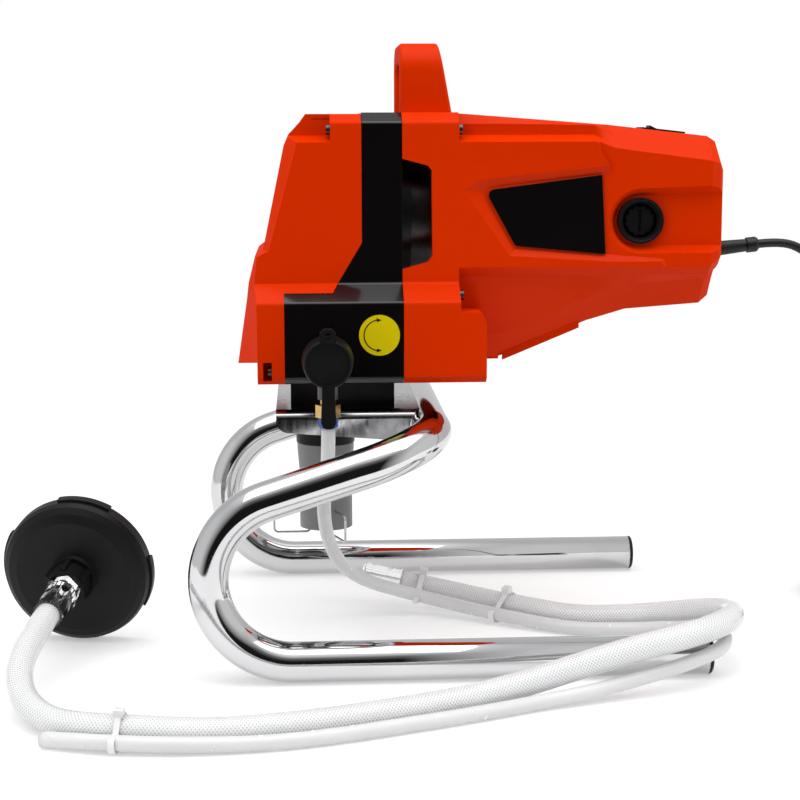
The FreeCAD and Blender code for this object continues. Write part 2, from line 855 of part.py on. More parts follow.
def notch_wall(way):
    # inside walls of the screw notch
    in_y = float(s.notch_in)
    wall = float(s.shell_wall)
    block = Part.makeBox(float(s.band_front_x) - float(s.seam_gap) - float(s.brow_x) + 6,
                         float(s.body_half) - in_y + wall, float(s.shoulder_top) - float(s.notch_low) + wall + 3,
                         Vec(float(s.brow_x) - 6, in_y - wall, float(s.notch_low) - wall - 1))
    if way < 0:
        block = block.mirror(Vec(0, 0, 0), Vec(0, 1, 0))
    return block.common(cover_skin(0.05)).common(section_bar(-160, 150, 0.05))


def notch(start_x, end_x, way):
    # the step cut out of the shoulder for an axial screw, its floor sloping outwards
    in_y = float(s.notch_in)
    out_y = float(s.body_half) + 5
    top = float(s.shoulder_top) + 1.2
    fall = (float(s.notch_top) - float(s.notch_low)) / (float(s.body_half) - in_y)
    outline = [Vec(start_x, way * in_y, top), Vec(start_x, way * in_y, float(s.notch_top)),
               Vec(start_x, way * out_y, float(s.notch_low) - fall * 5), Vec(start_x, way * out_y, top + 8),
               Vec(start_x, way * (in_y + 1), top + 8)]
    return prism(outline, Vec(end_x - start_x, 0, 0))


def cheek_boss(way):
    # block inside the lower cheek for its screw, or the upright slot in front of it
    wide = float(s.screw_head_r) + 4
    y = float(s.cheek_screw_y) - wide
    block = Part.makeBox(float(s.band_low_x) - float(s.seam_gap) - float(s.cover_low_x),
                         float(s.low_half) - y, 16, Vec(float(s.cover_low_x), y, float(s.body_base)))
    slot = Part.makeBox(5.5, 30, 12, Vec(float(s.cheek_screw_x) - 5.5, y + wide - 4, float(s.body_base) + 2.5))
    if way < 0:
        block = block.mirror(Vec(0, 0, 0), Vec(0, 1, 0))
        slot = slot.mirror(Vec(0, 0, 0), Vec(0, 1, 0))
    return block, slot


def largest(shape):
    # the main solid when a cut leaves loose crumbs
    solids = sorted(shape.Solids, key=lambda solid: solid.Volume)
    return solids[-1]


def make_screws():
    # pan head screws along x, four into each housing
    name = "housing_screws"
    places = []
    for way in (-1, 1):
        places += [(s.cover_notch_x, s.upper_screw_y * way, s.upper_screw_z, -1),
                   (s.cheek_screw_x, s.cheek_screw_y * way, s.cheek_screw_z, -1),
                   (s.shoulder_x, s.upper_screw_y * way, s.upper_screw_z, 1),
                   (s.shoulder_x, s.lower_screw_y * way, s.lower_screw_z, 1)]
    screws = []
    for index, (x, y, z, head_way) in enumerate(places):
        axis = "-x" if head_way < 0 else "+x"
        head = rod(name + "_head_%d" % index, s.screw_head_r, 2.4, x, y, z, axis)
        back = "+x" if head_way < 0 else "-x"
        reach = s.shoulder_x - s.band_rear_x + 10 if head_way > 0 else s.band_front_x - s.cover_notch_x + 10
        if float(x) == float(s.cheek_screw_x):
            reach = s.band_low_x - s.cheek_screw_x + 10
        shank = rod(name + "_shank_%d" % index, s.screw_r, reach, x, y, z, back)
        slot = box(name + "_slot_%d" % index, (x + head_way * 2.4 - 0.9, y - 0.4, z - s.screw_head_r - 1),
                   (x + head_way * 2.4 + 0.9, y + 0.4, z + s.screw_head_r + 1))
        screws.append(cut(name + "_%d" % index, fuse(name + "_body_%d" % index, head, shank), slot))
    node(name, group(name, *screws))


# Rear housing: shoulder, lower block, motor tunnel and handle
def between(x, places):
    # straight line between (x, value) pairs
    for (x1, v1), (x2, v2) in zip(places, places[1:]):
        if x <= x2:
            return v1 + (v2 - v1) * (x - x1) / (x2 - x1)
    return places[-1][1]


def tunnel_half(x):
    # half outline of the motor tunnel in y and z, from the crown down to the belly
    start = float(s.shoulder_x)
    arm = float(s.arm_x)
    flank = float(s.flank_x)
    tail = float(s.tail_x)
    bend = float(s.tail_bend_x)
    end = float(s.tail_end_x)
    full = float(s.body_half)
    taper = float(s.tail_taper)
    crown = between(x, [(start, float(s.crown_top) - 0.6), (flank, float(s.flank_top)),
                        (tail, float(s.tail_top)), (bend, float(s.tail_top) - 3.5),
                        (end, float(s.tail_top) - 9.5)])
    wide = between(x, [(start, full), (flank, full), (tail, full - taper), (bend, full - 2 * taper),
                       (end, full - 3.6 * taper)])
    edge = between(x, [(start, float(s.notch_low)), (arm, float(s.notch_low)), (flank, float(s.flank_edge)),
                       (tail, float(s.flank_edge) - 6), (bend, float(s.flank_edge) - 8),
                       (end, float(s.flank_edge) - 12)])
    belly = between(x, [(start, float(s.belly_low)), (float(s.belly_start_x), float(s.belly_low)),
                        (arm, float(s.belly_mid)), (float(s.belly_fold_x), float(s.belly_fold)),
                        (tail, float(s.belly_tail)), (bend, float(s.belly_tail) + 5),
                        (end, float(s.belly_tail) + 20)])
    low_edge = between(x, [(start, float(s.girth_top)), (tail, float(s.girth_top)), (end, float(s.girth_top) + 6)])
    share = wide / full
    crown_y = float(s.notch_in) - 4 if x <= arm else float(s.notch_in) * share - 8
    if x <= arm:
        step_high = (float(s.notch_in), float(s.shoulder_top) - 1)
        step_low = (float(s.notch_in), float(s.notch_top))
    else:
        step_high = (crown_y + (wide - crown_y) / 3, crown + (edge - crown) / 3)
        step_low = (crown_y + (wide - crown_y) * 2 / 3, crown + (edge - crown) * 2 / 3)
    step_high = (step_high[0], min(step_high[1], crown - 1))
    girth = min(belly + 17.5, low_edge - 8)
    return [(crown_y, crown), step_high, step_low, (wide, edge), (wide, low_edge),
            (wide - 8, low_edge - 6.5), (float(s.girth_half) * share, max(girth, belly + 1)),
            (float(s.belly_half) * share, belly)]


def tunnel(inset=0.0, flank=0.0, rear_flank=0.0):
    # ruled skin of the tunnel, or of the room inside it
    stations = [float(s.shoulder_x), float(s.belly_start_x), float(s.arm_x), float(s.flank_x),
                float(s.belly_fold_x), float(s.tail_x), float(s.tail_bend_x), float(s.tail_end_x)]
    wires = []
    for x in stations:
        side_in = flank if x < float(s.flank_x) - 1 else rear_flank
        limit = tunnel_half(x)[3][0] - side_in
        half = []
        for index, (y, z) in enumerate(tunnel_half(x)):
            z = z - inset if index < 4 else z + inset
            half.append((min(y - inset, limit), z))
        if x > float(s.tail_bend_x):
            x = x - inset
        if x < float(s.shoulder_x) + 1 and inset > 0:
            x = x - inset - 2
        right = [Vec(x, y, z) for y, z in half]
        left = [Vec(x, -y, z) for y, z in reversed(half)]
        wires.append(wire_of(right + left))
    return Part.makeLoft(wires, True, True)


def sharp_edges(shape, above):
    # edges over a height where two faces meet at an angle
    chosen = []
    for edge in shape.Edges:
        if min(vertex.Z for vertex in edge.Vertexes) < above:
            if max(vertex.Z for vertex in edge.Vertexes) < above + 3:
                continue
        middle = edge.valueAt((edge.FirstParameter + edge.LastParameter) / 2)
        normals = []
        for face in shape.ancestorsOfType(edge, Part.Face):
            across, along = face.Surface.parameter(middle)
            normals.append(face.normalAt(across, along))
        if len(normals) == 2 and normals[0].getAngle(normals[1]) > 0.3:
            chosen.append(edge)
    return chosen


def make_handle(front):
    # a broad arch across the crown, its rear edge sloping
    half = float(s.handle_half)
    top = float(s.handle_top)
    foot = float(s.crown_top) - 3
    leg = float(s.handle_leg)
    outer = [Vec(front, -half, foot), Vec(front, -half, top), Vec(front, half, top), Vec(front, half, foot)]
    inner = [Vec(front, leg - half, foot - 2), Vec(front, leg - half, top - float(s.handle_bar)),
             Vec(front, half - leg, top - float(s.handle_bar)), Vec(front, half - leg, foot - 2)]
    bend = float(s.handle_bend)
    grip = float(s.grip_bend)
    depth = Vec(float(s.handle_base_x) - front, 0, 0)
    arch = Part.Face(rounded_wire(outer, [0, bend, bend, 0])).extrude(depth)
    arch = arch.cut(Part.Face(rounded_wire(inner, [0, grip, grip, 0])).extrude(depth))
    base_x = float(s.handle_base_x)
    crest_x = float(s.handle_crest_x)
    side = [Vec(front, -half - 1, foot), Vec(front, -half - 1, top + 1), Vec(crest_x, -half - 1, top + 1),
            Vec(base_x, -half - 1, foot)]
    arch = arch.common(Part.Face(rounded_wire(side, [0, 0, 4, 0])).extrude(Vec(0, 2 * half + 2, 0)))
    return arch.makeFillet(float(s.handle_round), sharp_edges(arch, foot + 1))


def flank_pocket(way):
    # shallow side pocket, open to the rear, with a wide bevel in front
    face = float(s.body_half)
    floor = face - float(s.pocket_deep)
    top = float(s.shoulder_top) - 4
    end = float(s.tail_end_x) + 10
    low = float(s.belly_tail) + 12
    outer = [(2.3, 299.3), (14, 306), (97, 314.5), (90, 325), (86.5, top), (end, top), (end, low),
             (139, low), (130, 251), (32.7, 257)]
    inner = [(15.5, 298.3), (20, 301), (97.5, 309.5), (91.8, 319), (90, top), (end, top), (end, low),
             (142.5, low), (133, 254.5), (36.5, 262.3)]
    wires = []
    for points, y in ((inner, floor), (outer, face + 0.02)):
        wires.append(wire_of([Vec(x, way * y, z) for x, z in points]))
    bevel = Part.makeLoft(wires, True, True)
    above = prism([Vec(x, way * (face + 0.01), z) for x, z in outer], Vec(0, way * 6, 0))
    return bevel.fuse(above)


def dial_recess(way):
    # rounded trough for the dial, running out to the rear
    face = float(s.body_half)
    floor = face - float(s.pocket_deep) - float(s.dial_slot_deep)
    x = float(s.dial_x)
    z = float(s.dial_z)
    deep = face - floor
    radius = float(s.dial_slot_r)
    wide = radius + float(s.dial_slot_bevel)
    end = float(s.tail_end_x) + 10
    round_end = Part.makeCone(radius, wide, deep, Vec(x, way * floor, z), Vec(0, way, 0))
    wires = []
    for half, y in ((radius, floor), (wide, face)):
        wires.append(wire_of([Vec(x, way * y, z - half), Vec(x, way * y, z + half),
                              Vec(end, way * y, z + half + 2), Vec(end, way * y, z - half)]))
    trough = Part.makeLoft(wires, True, True)
    above = Part.makeCylinder(wide, 10, Vec(x, way * face, z), Vec(0, way, 0))
    beside = Part.makeBox(end - x, 10, 2 * wide + 2, Vec(x, face if way > 0 else -face - 10, z - wide))
    return round_end.fuse([trough, above, beside])


def side_window(way):
    # air opening behind the gear housing
    front = float(s.band_rear_x) - 1
    rear = float(s.window_rear_x)
    top = float(s.window_top)
    low = float(s.window_low)
    slope = float(s.window_slope)
    outline = [(front, top), (rear - 2.5, top - slope), (rear, top - slope - 3), (rear + 0.5, low + slope + 4),
               (rear - 2.5, low + slope), (front, low)]
    reach = float(s.body_half) - 12
    return prism([Vec(x, way * reach, z) for x, z in outline], Vec(0, way * 20, 0))


def switch_turn():
    # the sloping crown of the tail carries the switch
    fall = float(s.flank_top) - float(s.tail_top)
    run = float(s.tail_x) - float(s.flank_x)
    return math.degrees(math.atan2(fall, run))


def switch_z():
    share = (float(s.rocker_x) - float(s.flank_x)) / (float(s.tail_x) - float(s.flank_x))
    return float(s.flank_top) - share * (float(s.flank_top) - float(s.tail_top))


def switch_box(long, wide, low, high):
    # a block centred on the switch, standing square to the slope
    block = Part.makeBox(long, wide, high - low, Vec(-long / 2, -wide / 2, low))
    block.Placement = FreeCAD.Placement(Vec(float(s.rocker_x), 0, switch_z()),
                                        FreeCAD.Rotation(Vec(0, 1, 0), switch_turn()))
    return block


def make_rear_housing():
    front = float(s.band_rear_x) + float(s.seam_gap)
    shoulder = float(s.shoulder_x)
    wall = float(s.shell_wall)
    outer = section_bar(front, shoulder - front)
    low = float(s.low_half)
    base = float(s.body_base)
    block_top = float(s.block_top)
    block_x = float(s.block_x)
    side = [Vec(shoulder - 1, -low, base), Vec(shoulder - 1, -low, block_top), Vec(block_x - 3.5, -low, block_top),
            Vec(block_x, -low, block_top - 6), Vec(block_x, -low, base)]
    block = prism(side, Vec(0, 2 * low, 0)).common(section_bar(shoulder - 2, 40))
    skin = tunnel()
    outer = outer.fuse([block, skin, make_handle(front)])
    cuts = []
    for way in (-1, 1):
        cuts += [flank_pocket(way), dial_recess(way), side_window(way)]
    outer = outer.cut(cuts)
    rooms = [prism(body_section(front - 1, 6.0), Vec(shoulder - wall - front + 1, 0, 0)),
             Part.makeBox(block_x - wall - shoulder + 8, 2 * (low - 6), block_top - base - 2 * wall - 2,
                          Vec(shoulder - 8, 6 - low, base + wall + 1)),
             tunnel(wall, 6.0, 13.0)]
    housing = outer.cut(rooms)
    bosses = []
    holes = []
    hole_r = float(s.screw_r) + 0.3
    for way in (-1, 1):
        for y, z in ((s.upper_screw_y, s.upper_screw_z), (s.lower_screw_y, s.lower_screw_z)):
            spot = Vec(front, way * float(y), float(z))
            bosses.append(Part.makeCylinder(5, shoulder - front, spot, Vec(1, 0, 0)).common(outer))
            holes.append(Part.makeCylinder(hole_r, shoulder - front + 2, spot - Vec(1, 0, 0), Vec(1, 0, 0)))
    # two ribs under the circuit board
    for x in (float(s.board_x) + 6, float(s.board_x) + float(s.board_long) - 9):
        rib = Part.makeBox(3, 50, float(s.board_z) - 205, Vec(x, -25, 205))
        bosses.append(rib.common(skin))
    holes.append(Part.makeCylinder(float(s.cup_r) + 0.1, 20,
                                   Vec(float(s.dial_x), 24 - float(s.body_half), float(s.dial_z)),
                                   Vec(0, -1, 0)))
    holes.append(Part.makeCylinder(float(s.relief_r) + 0.05, 30, Vec(float(s.tail_end_x) - 20, 0, float(s.cord_z)),
                                   Vec(1, 0, 0)))
    holes.append(switch_box(float(s.rocker_long) + 1.2, 2 * float(s.rocker_half) + 5.2, -20, 10))
    housing = housing.fuse(bosses).cut(holes)
    housing = housing.fuse(belly_ribs(skin))
    node("rear_housing", shaped("rear_housing", largest(housing.removeSplitter())))


def belly_ribs(skin):
    # one long rib low on each flank and a small foot under the belly
    ribs = []
    x1 = float(s.belly_start_x) + 4
    x2 = float(s.arm_x) - 5
    z1 = float(s.belly_low) + 1.5
    z2 = float(s.belly_mid) - 1.5
    inner = float(s.belly_half)
    for way in (-1, 1):
        rib = prism([Vec(x1, way * (inner - 1), z1 - 3.2), Vec(x1, way * (inner - 1), z1 + 2),
                     Vec(x2, way * (inner - 1), z2 + 2), Vec(x2, way * (inner - 1), z2 - 3.2)],
                    Vec(0, way * 3, 0))
        ribs.append(rib.cut(tunnel(0.3)))
    foot = Part.makeBox(10, 24, 6, Vec(float(s.belly_start_x) - 7, -12, float(s.belly_low) - 3))
    ribs.append(foot.cut(tunnel(0.3)))
    return ribs


def make_side_panels():
    # bare dark plates in the side pockets
    thick = float(s.panel_thick)
    floor = float(s.body_half) - float(s.pocket_deep)
    corner = float(s.panel_corner)
    outline = [(16.6, 299.0), (92.0, 308.6), (94.9, 257.6), (36.3, 263.2)]
    panels = []
    for name, way in (("near", -1), ("far", 1)):
        points = [Vec(x, way * (floor - 0.02 + float(s.seat_gap)), z) for x, z in outline]
        plate = Part.Face(rounded_wire(points, [corner, 0.6, 0.6, corner]))
        panels.append(shaped("side_panel_" + name, plate.extrude(Vec(0, way * thick, 0))))
    node("side_panels", group("side_panels", *panels))


def make_controls():
    # dial cup with the regulator behind it, dial and rocker switch
    floor = s.body_half - s.pocket_deep - s.dial_slot_deep
    deep = s.cup_deep
    cup = [(s.stem_hole_r, -8), (s.dial_r, -8), (s.dial_r, 0), (s.cup_r, 0), (s.cup_r, deep),
           (s.cup_hole_r + 0.6, deep), (s.cup_hole_r, deep - 0.8), (s.cup_hole_r, deep - 2.5),
           (s.cup_hole_r - 1.2, deep - 2.5), (s.cup_hole_r - 1.2, 2), (s.stem_hole_r, 2)]
    back = floor + s.cup_out - deep
    node("dial_cup", turned("dial_cup", cup, s.dial_x, -back, s.dial_z, "-y"))

    face = back + 2.3
    knob = rod("dial_knob", s.dial_r, s.dial_high, s.dial_x, -face, s.dial_z, "-y")
    grips = []
    for index in range(12):
        turn = 2 * math.pi * index / 12
        grips.append(rod("dial_grip_%d" % index, 1.0, s.dial_high, s.dial_x + s.dial_r * math.cos(turn),
                         -face, s.dial_z + s.dial_r * math.sin(turn), "-y"))
    slot = box("dial_slot", (s.dial_x - 0.9, -face - s.dial_high - 0.5, s.dial_z - 7),
               (s.dial_x + 0.9, -face - s.dial_high + 1.2, s.dial_z + 7))
    stem = rod("dial_stem", s.stem_hole_r - 0.05, 12, s.dial_x, -face + 11.9, s.dial_z, "-y")
    node("pressure_dial", fuse("pressure_dial", cut("dial_body", knob, slot, *grips), stem))

    rim = float(s.bezel_rim)
    long = float(s.rocker_long)
    wide = 2 * float(s.rocker_half)
    plate = switch_box(long + 2 * rim + 2, wide + 2 * rim + 4, 0.25, 1.8)
    sleeve = switch_box(long + 1, wide + 5, -18, 1)
    well = switch_box(long - 1.6, wide + 1, -7.5, 4)
    pin_r = float(s.rocker_pin_r)
    pin_z = -float(s.rocker_pin_deep)
    pin_half = wide / 2 + 1.3
    turn = FreeCAD.Placement(Vec(float(s.rocker_x), 0, switch_z()), FreeCAD.Rotation(Vec(0, 1, 0), switch_turn()))
    pin_hole = Part.makeCylinder(pin_r + float(s.slide_fit), 2 * pin_half + 0.6, Vec(0, -pin_half - 0.3, pin_z),
                                 Vec(0, 1, 0))
    pin_hole.Placement = turn
    switch = plate.fuse(sleeve).cut([well, pin_hole])
    node("switch_body", shaped("switch_body", switch.removeSplitter()))

    half = (long - 4.8) / 2
    rise = 2.0
    outline = [(-half, -1.2), (-half, rise + 1.6), (-half / 2, rise), (0, rise - 0.9), (half, rise - 1.8),
               (half, -2.4), (1.4, -5.6), (-1.4, -5.6)]
    width = wide + 0.2
    points = [Vec(x, -width / 2, z) for x, z in outline]
    rocker = prism(points, Vec(0, width, 0))
    pin = Part.makeCylinder(pin_r, 2 * pin_half, Vec(0, -pin_half, pin_z), Vec(0, 1, 0))
    rocker = rocker.fuse(pin)
    rocker.Placement = turn
    node("switch_rocker", shaped("switch_rocker", rocker.removeSplitter()))

    board = box("board_plate", (s.board_x, -25, s.board_z + s.seat_gap),
                (s.board_x + s.board_long, 25, s.board_z + s.seat_gap + 1.6))
    parts = [board]
    top = s.board_z + s.seat_gap + 1.6
    parts.append(box("board_choke", (s.board_x + 6, -18, top), (s.board_x + 18, 2, top + 9)))
    parts.append(box("board_block", (s.board_x + 22, 6, top), (s.board_x + 36, 20, top + 5)))
    parts.append(rod("board_can", 5, 13, s.board_x + 28, -12, top))
    node("control_board", fuse("control_board", *parts))


# Pump below the crank: block, valves and inlet
def helix_spring(name, low, high, radius, wire, turns, x, y, z, axis="+z"):
    # a plain coil spring from low to high, measured from its place along its own axis
    rise = float(high - low) - 2 * wire
    climb = rise / (2 * math.pi * turns)

    def spot(turn):
        return Vec(radius * math.cos(turn), radius * math.sin(turn), climb * turn)

    edges = []
    for half in range(2 * turns):
        start = math.pi * half
        edges.append(arc_edge(spot(start), spot(start + math.pi / 2), spot(start + math.pi)))
    ring = Part.Wire([Part.makeCircle(wire, Vec(radius, 0, 0), Vec(0, 1, 0))])
    solid = Part.Wire(edges).makePipeShell([ring], True, False)
    start = Vec(0, 0, float(low) + wire) if axis == "+z" else Vec(0, float(low) + wire, 0)
    thing = place(shaped(name, solid), x, y, z, axis)
    thing.Placement.Base = thing.Placement.Base + start
    return node(name, thing)


def seated_height(ball_r, hole_r):
    # height of a ball's middle over the sharp edge of the hole it rests on
    return math.sqrt(float(ball_r) ** 2 - float(hole_r) ** 2)


def make_pump():
    x = s.pump_x
    base = s.body_base
    rear_rise = s.head_top + 12
    slab = box("pump_slab", (s.block_front_x, -s.block_half, s.plate_top), (s.block_rear_x, s.block_half, base))
    head = box("pump_head", (s.head_front_x, -s.head_half, base - 1), (s.head_rear_x, s.head_half, s.head_top))
    tower = rod("pump_tower", s.packing_r + 3, 13, x, 0, s.head_top - 1)
    rib = box("pump_rib", (s.head_rear_x - 1, -14, base - 1), (s.head_rear_x + 3 - s.seat_gap, 14, base + 12))
    tools = [
        rod("pump_neck_hole", s.inlet_neck_r + s.slide_fit, 8 + 1, x, 0, s.plate_top - 1),
        rod("pump_valve_room", 9, 20, x, 0, s.plate_top - 1),
        rod("pump_passage", 3, 12, x, 0, s.plate_top + 15),
        rod("pump_bore", s.piston_r + s.slide_fit, 60, x, 0, s.valve_z - 8),
        rod("pump_packing_hole", s.packing_r + s.slide_fit, s.packing_high + 1, x, 0,
            rear_rise - s.packing_high),
        rod("pump_near_port", 3, s.head_half, s.valve_x, -8, s.valve_z, "-y"),
        rod("pump_near_thread", s.port_r, 20, s.valve_x, 14 - s.head_half, s.valve_z, "-y"),
        rod("pump_far_port", 2.6, s.head_half, s.valve_x, 8, s.valve_z, "+y"),
        rod("pump_far_room", s.outlet_ball_r + 2.05, 40, s.valve_x, s.outlet_seat_y, s.valve_z, "+y"),
        rod("pump_far_thread", s.port_r, 20, s.valve_x, s.head_half - 14, s.valve_z, "+y"),
    ]
    for index, (bolt_x, bolt_y) in enumerate(bolt_places()):
        tools.append(rod("pump_bolt_hole_%d" % index, s.bolt_r + s.slide_fit, 13, bolt_x, bolt_y, s.plate_top - 0.5))
    node("pump_block", cut("pump_block", fuse("pump_body", slab, head, tower, rib), *tools))

    packing = [(s.piston_r + s.slide_fit, 0), (s.packing_r, 0), (s.packing_r, s.packing_high),
               (s.piston_r + s.slide_fit, s.packing_high)]
    node("piston_packing", turned("piston_packing", packing, x, 0, rear_rise - s.packing_high))


def make_inlet():
    x = s.pump_x
    wall_r = s.inlet_r - s.inlet_wall
    socket_top = s.skirt_top + s.socket_long
    neck_top = s.plate_top + 8
    outline = [(wall_r, s.inlet_base), (s.inlet_r, s.inlet_base), (s.inlet_r, s.inlet_flare_z - 20),
               (s.inlet_flare_r, s.inlet_flare_z - 4), (s.inlet_flare_r, s.inlet_flare_z),
               (s.inlet_neck_r, s.inlet_flare_z), (s.inlet_neck_r, neck_top), (9, neck_top),
               (9, s.seat_base), (6, s.seat_base), (6, socket_top), (s.socket_r, socket_top),
               (s.socket_r, s.skirt_top), (wall_r, s.skirt_top)]
    body = turned("inlet_turned", outline, x, 0, 0)
    holes = []
    for name, angle in (("front", 180), ("near", float(s.near_clip_angle))):
        turn = math.radians(angle)
        across = FreeCAD.Rotation(Vec(0, 0, 1), angle).multiply(FreeCAD.Rotation(Vec(0, 1, 0), 90))
        holes.append(rod("inlet_hole_" + name, s.wire_r + 0.06, s.inlet_r, x + 8 * math.cos(turn),
                         8 * math.sin(turn), s.clip_hinge_z, across))
    node("inlet_body", cut("inlet_body", body, *holes))

    ring = [(s.inlet_neck_r + s.slide_fit, 0), (s.collar_r - 0.6, 0), (s.collar_r, 0.6),
            (s.collar_r, s.collar_high - 0.6), (s.collar_r - 0.6, s.collar_high),
            (s.inlet_neck_r + s.slide_fit, s.collar_high)]
    node("inlet_collar", turned("inlet_collar", ring, x, 0, s.inlet_flare_z))

    seat = [(s.seat_hole_r, 0), (9 - s.slide_fit, 0), (9 - s.slide_fit, s.seat_high),
            (s.seat_hole_r + 1, s.seat_high), (s.seat_hole_r, s.seat_high - 1)]
    node("inlet_seat", turned("inlet_seat", seat, x, 0, s.seat_base))
    rise = seated_height(s.inlet_ball_r, s.seat_hole_r)
    ball_z = s.seat_base + s.seat_high - 1 + rise + 0.02
    node("inlet_ball", ball("inlet_ball", s.inlet_ball_r, x, 0, ball_z))
    top = s.plate_top + 19
    helix_spring("inlet_spring", ball_z + 4.95, top - 0.05, 4.0, 0.5, 6, x, 0, 0)


def make_clips():
    # two wire hooks through the wall of the inlet skirt, hanging below its edge
    high = float(s.clip_hinge_z)
    low = high - float(s.clip_drop)
    out_r = float(s.clip_out)
    in_r = float(s.clip_in)
    bend = float(s.clip_bend)
    for name, angle in (("front", 180), ("near", float(s.near_clip_angle))):
        corners = [Vec(in_r + 2.6, 0, high), Vec(out_r, 0, high), Vec(out_r, 0, low), Vec(in_r, 0, low),
                   Vec(in_r, 0, high - 4)]
        edges = []
        last = corners[0]
        for index in (1, 2, 3):
            corner = corners[index]
            back = (corners[index - 1] - corner).normalize()
            ahead = (corners[index + 1] - corner).normalize()
            inward = (back + ahead).normalize()
            middle = corner + inward * (bend * (math.sqrt(2) - 1))
            edges.append(Part.LineSegment(last, corner + back * bend).toShape())
            edges.append(arc_edge(corner + back * bend, middle, corner + ahead * bend))
            last = corner + ahead * bend
        edges.append(Part.LineSegment(last, corners[4]).toShape())
        wire = tube_along(Part.Wire(edges), corners[0], Vec(1, 0, 0), s.wire_r)
        clip = shaped("wire_clip_" + name, wire)
        node("wire_clip_" + name, place(clip, s.pump_x, 0, 0, FreeCAD.Rotation(Vec(0, 0, 1), angle)))


def make_outlet():
    # far side: ball on its edge in the block, spring and the threaded nipple for the spray hose
    x = s.valve_x
    seat_y = s.outlet_seat_y
    ball_y = seat_y + seated_height(s.outlet_ball_r, 2.6) + 0.02
    node("outlet_ball", ball("outlet_ball", s.outlet_ball_r, x, ball_y, s.valve_z))
    thread_y = s.head_half - 14
    helix_spring("outlet_spring", ball_y + 3.8, thread_y - 0.05, 3.0, 0.4, 4, x, 0, s.valve_z, "+y")
    flange = s.outlet_flange_r
    end = s.outlet_flange_end
    outline = [(s.outlet_bore_r, thread_y), (s.port_r - s.slide_fit, thread_y),
               (s.port_r - s.slide_fit, s.head_half), (flange - 2, s.head_half), (flange, s.head_half + 1.5),
               (flange, end - 1), (flange - 1, end), (s.nipple_r, end), (s.nipple_r, end + s.nipple_long - 1),
               (s.nipple_r - 1, end + s.nipple_long), (s.outlet_bore_r, end + s.nipple_long)]
    node("outlet_nipple", turned("outlet_nipple", outline, x, 0, s.valve_z, "+y"))


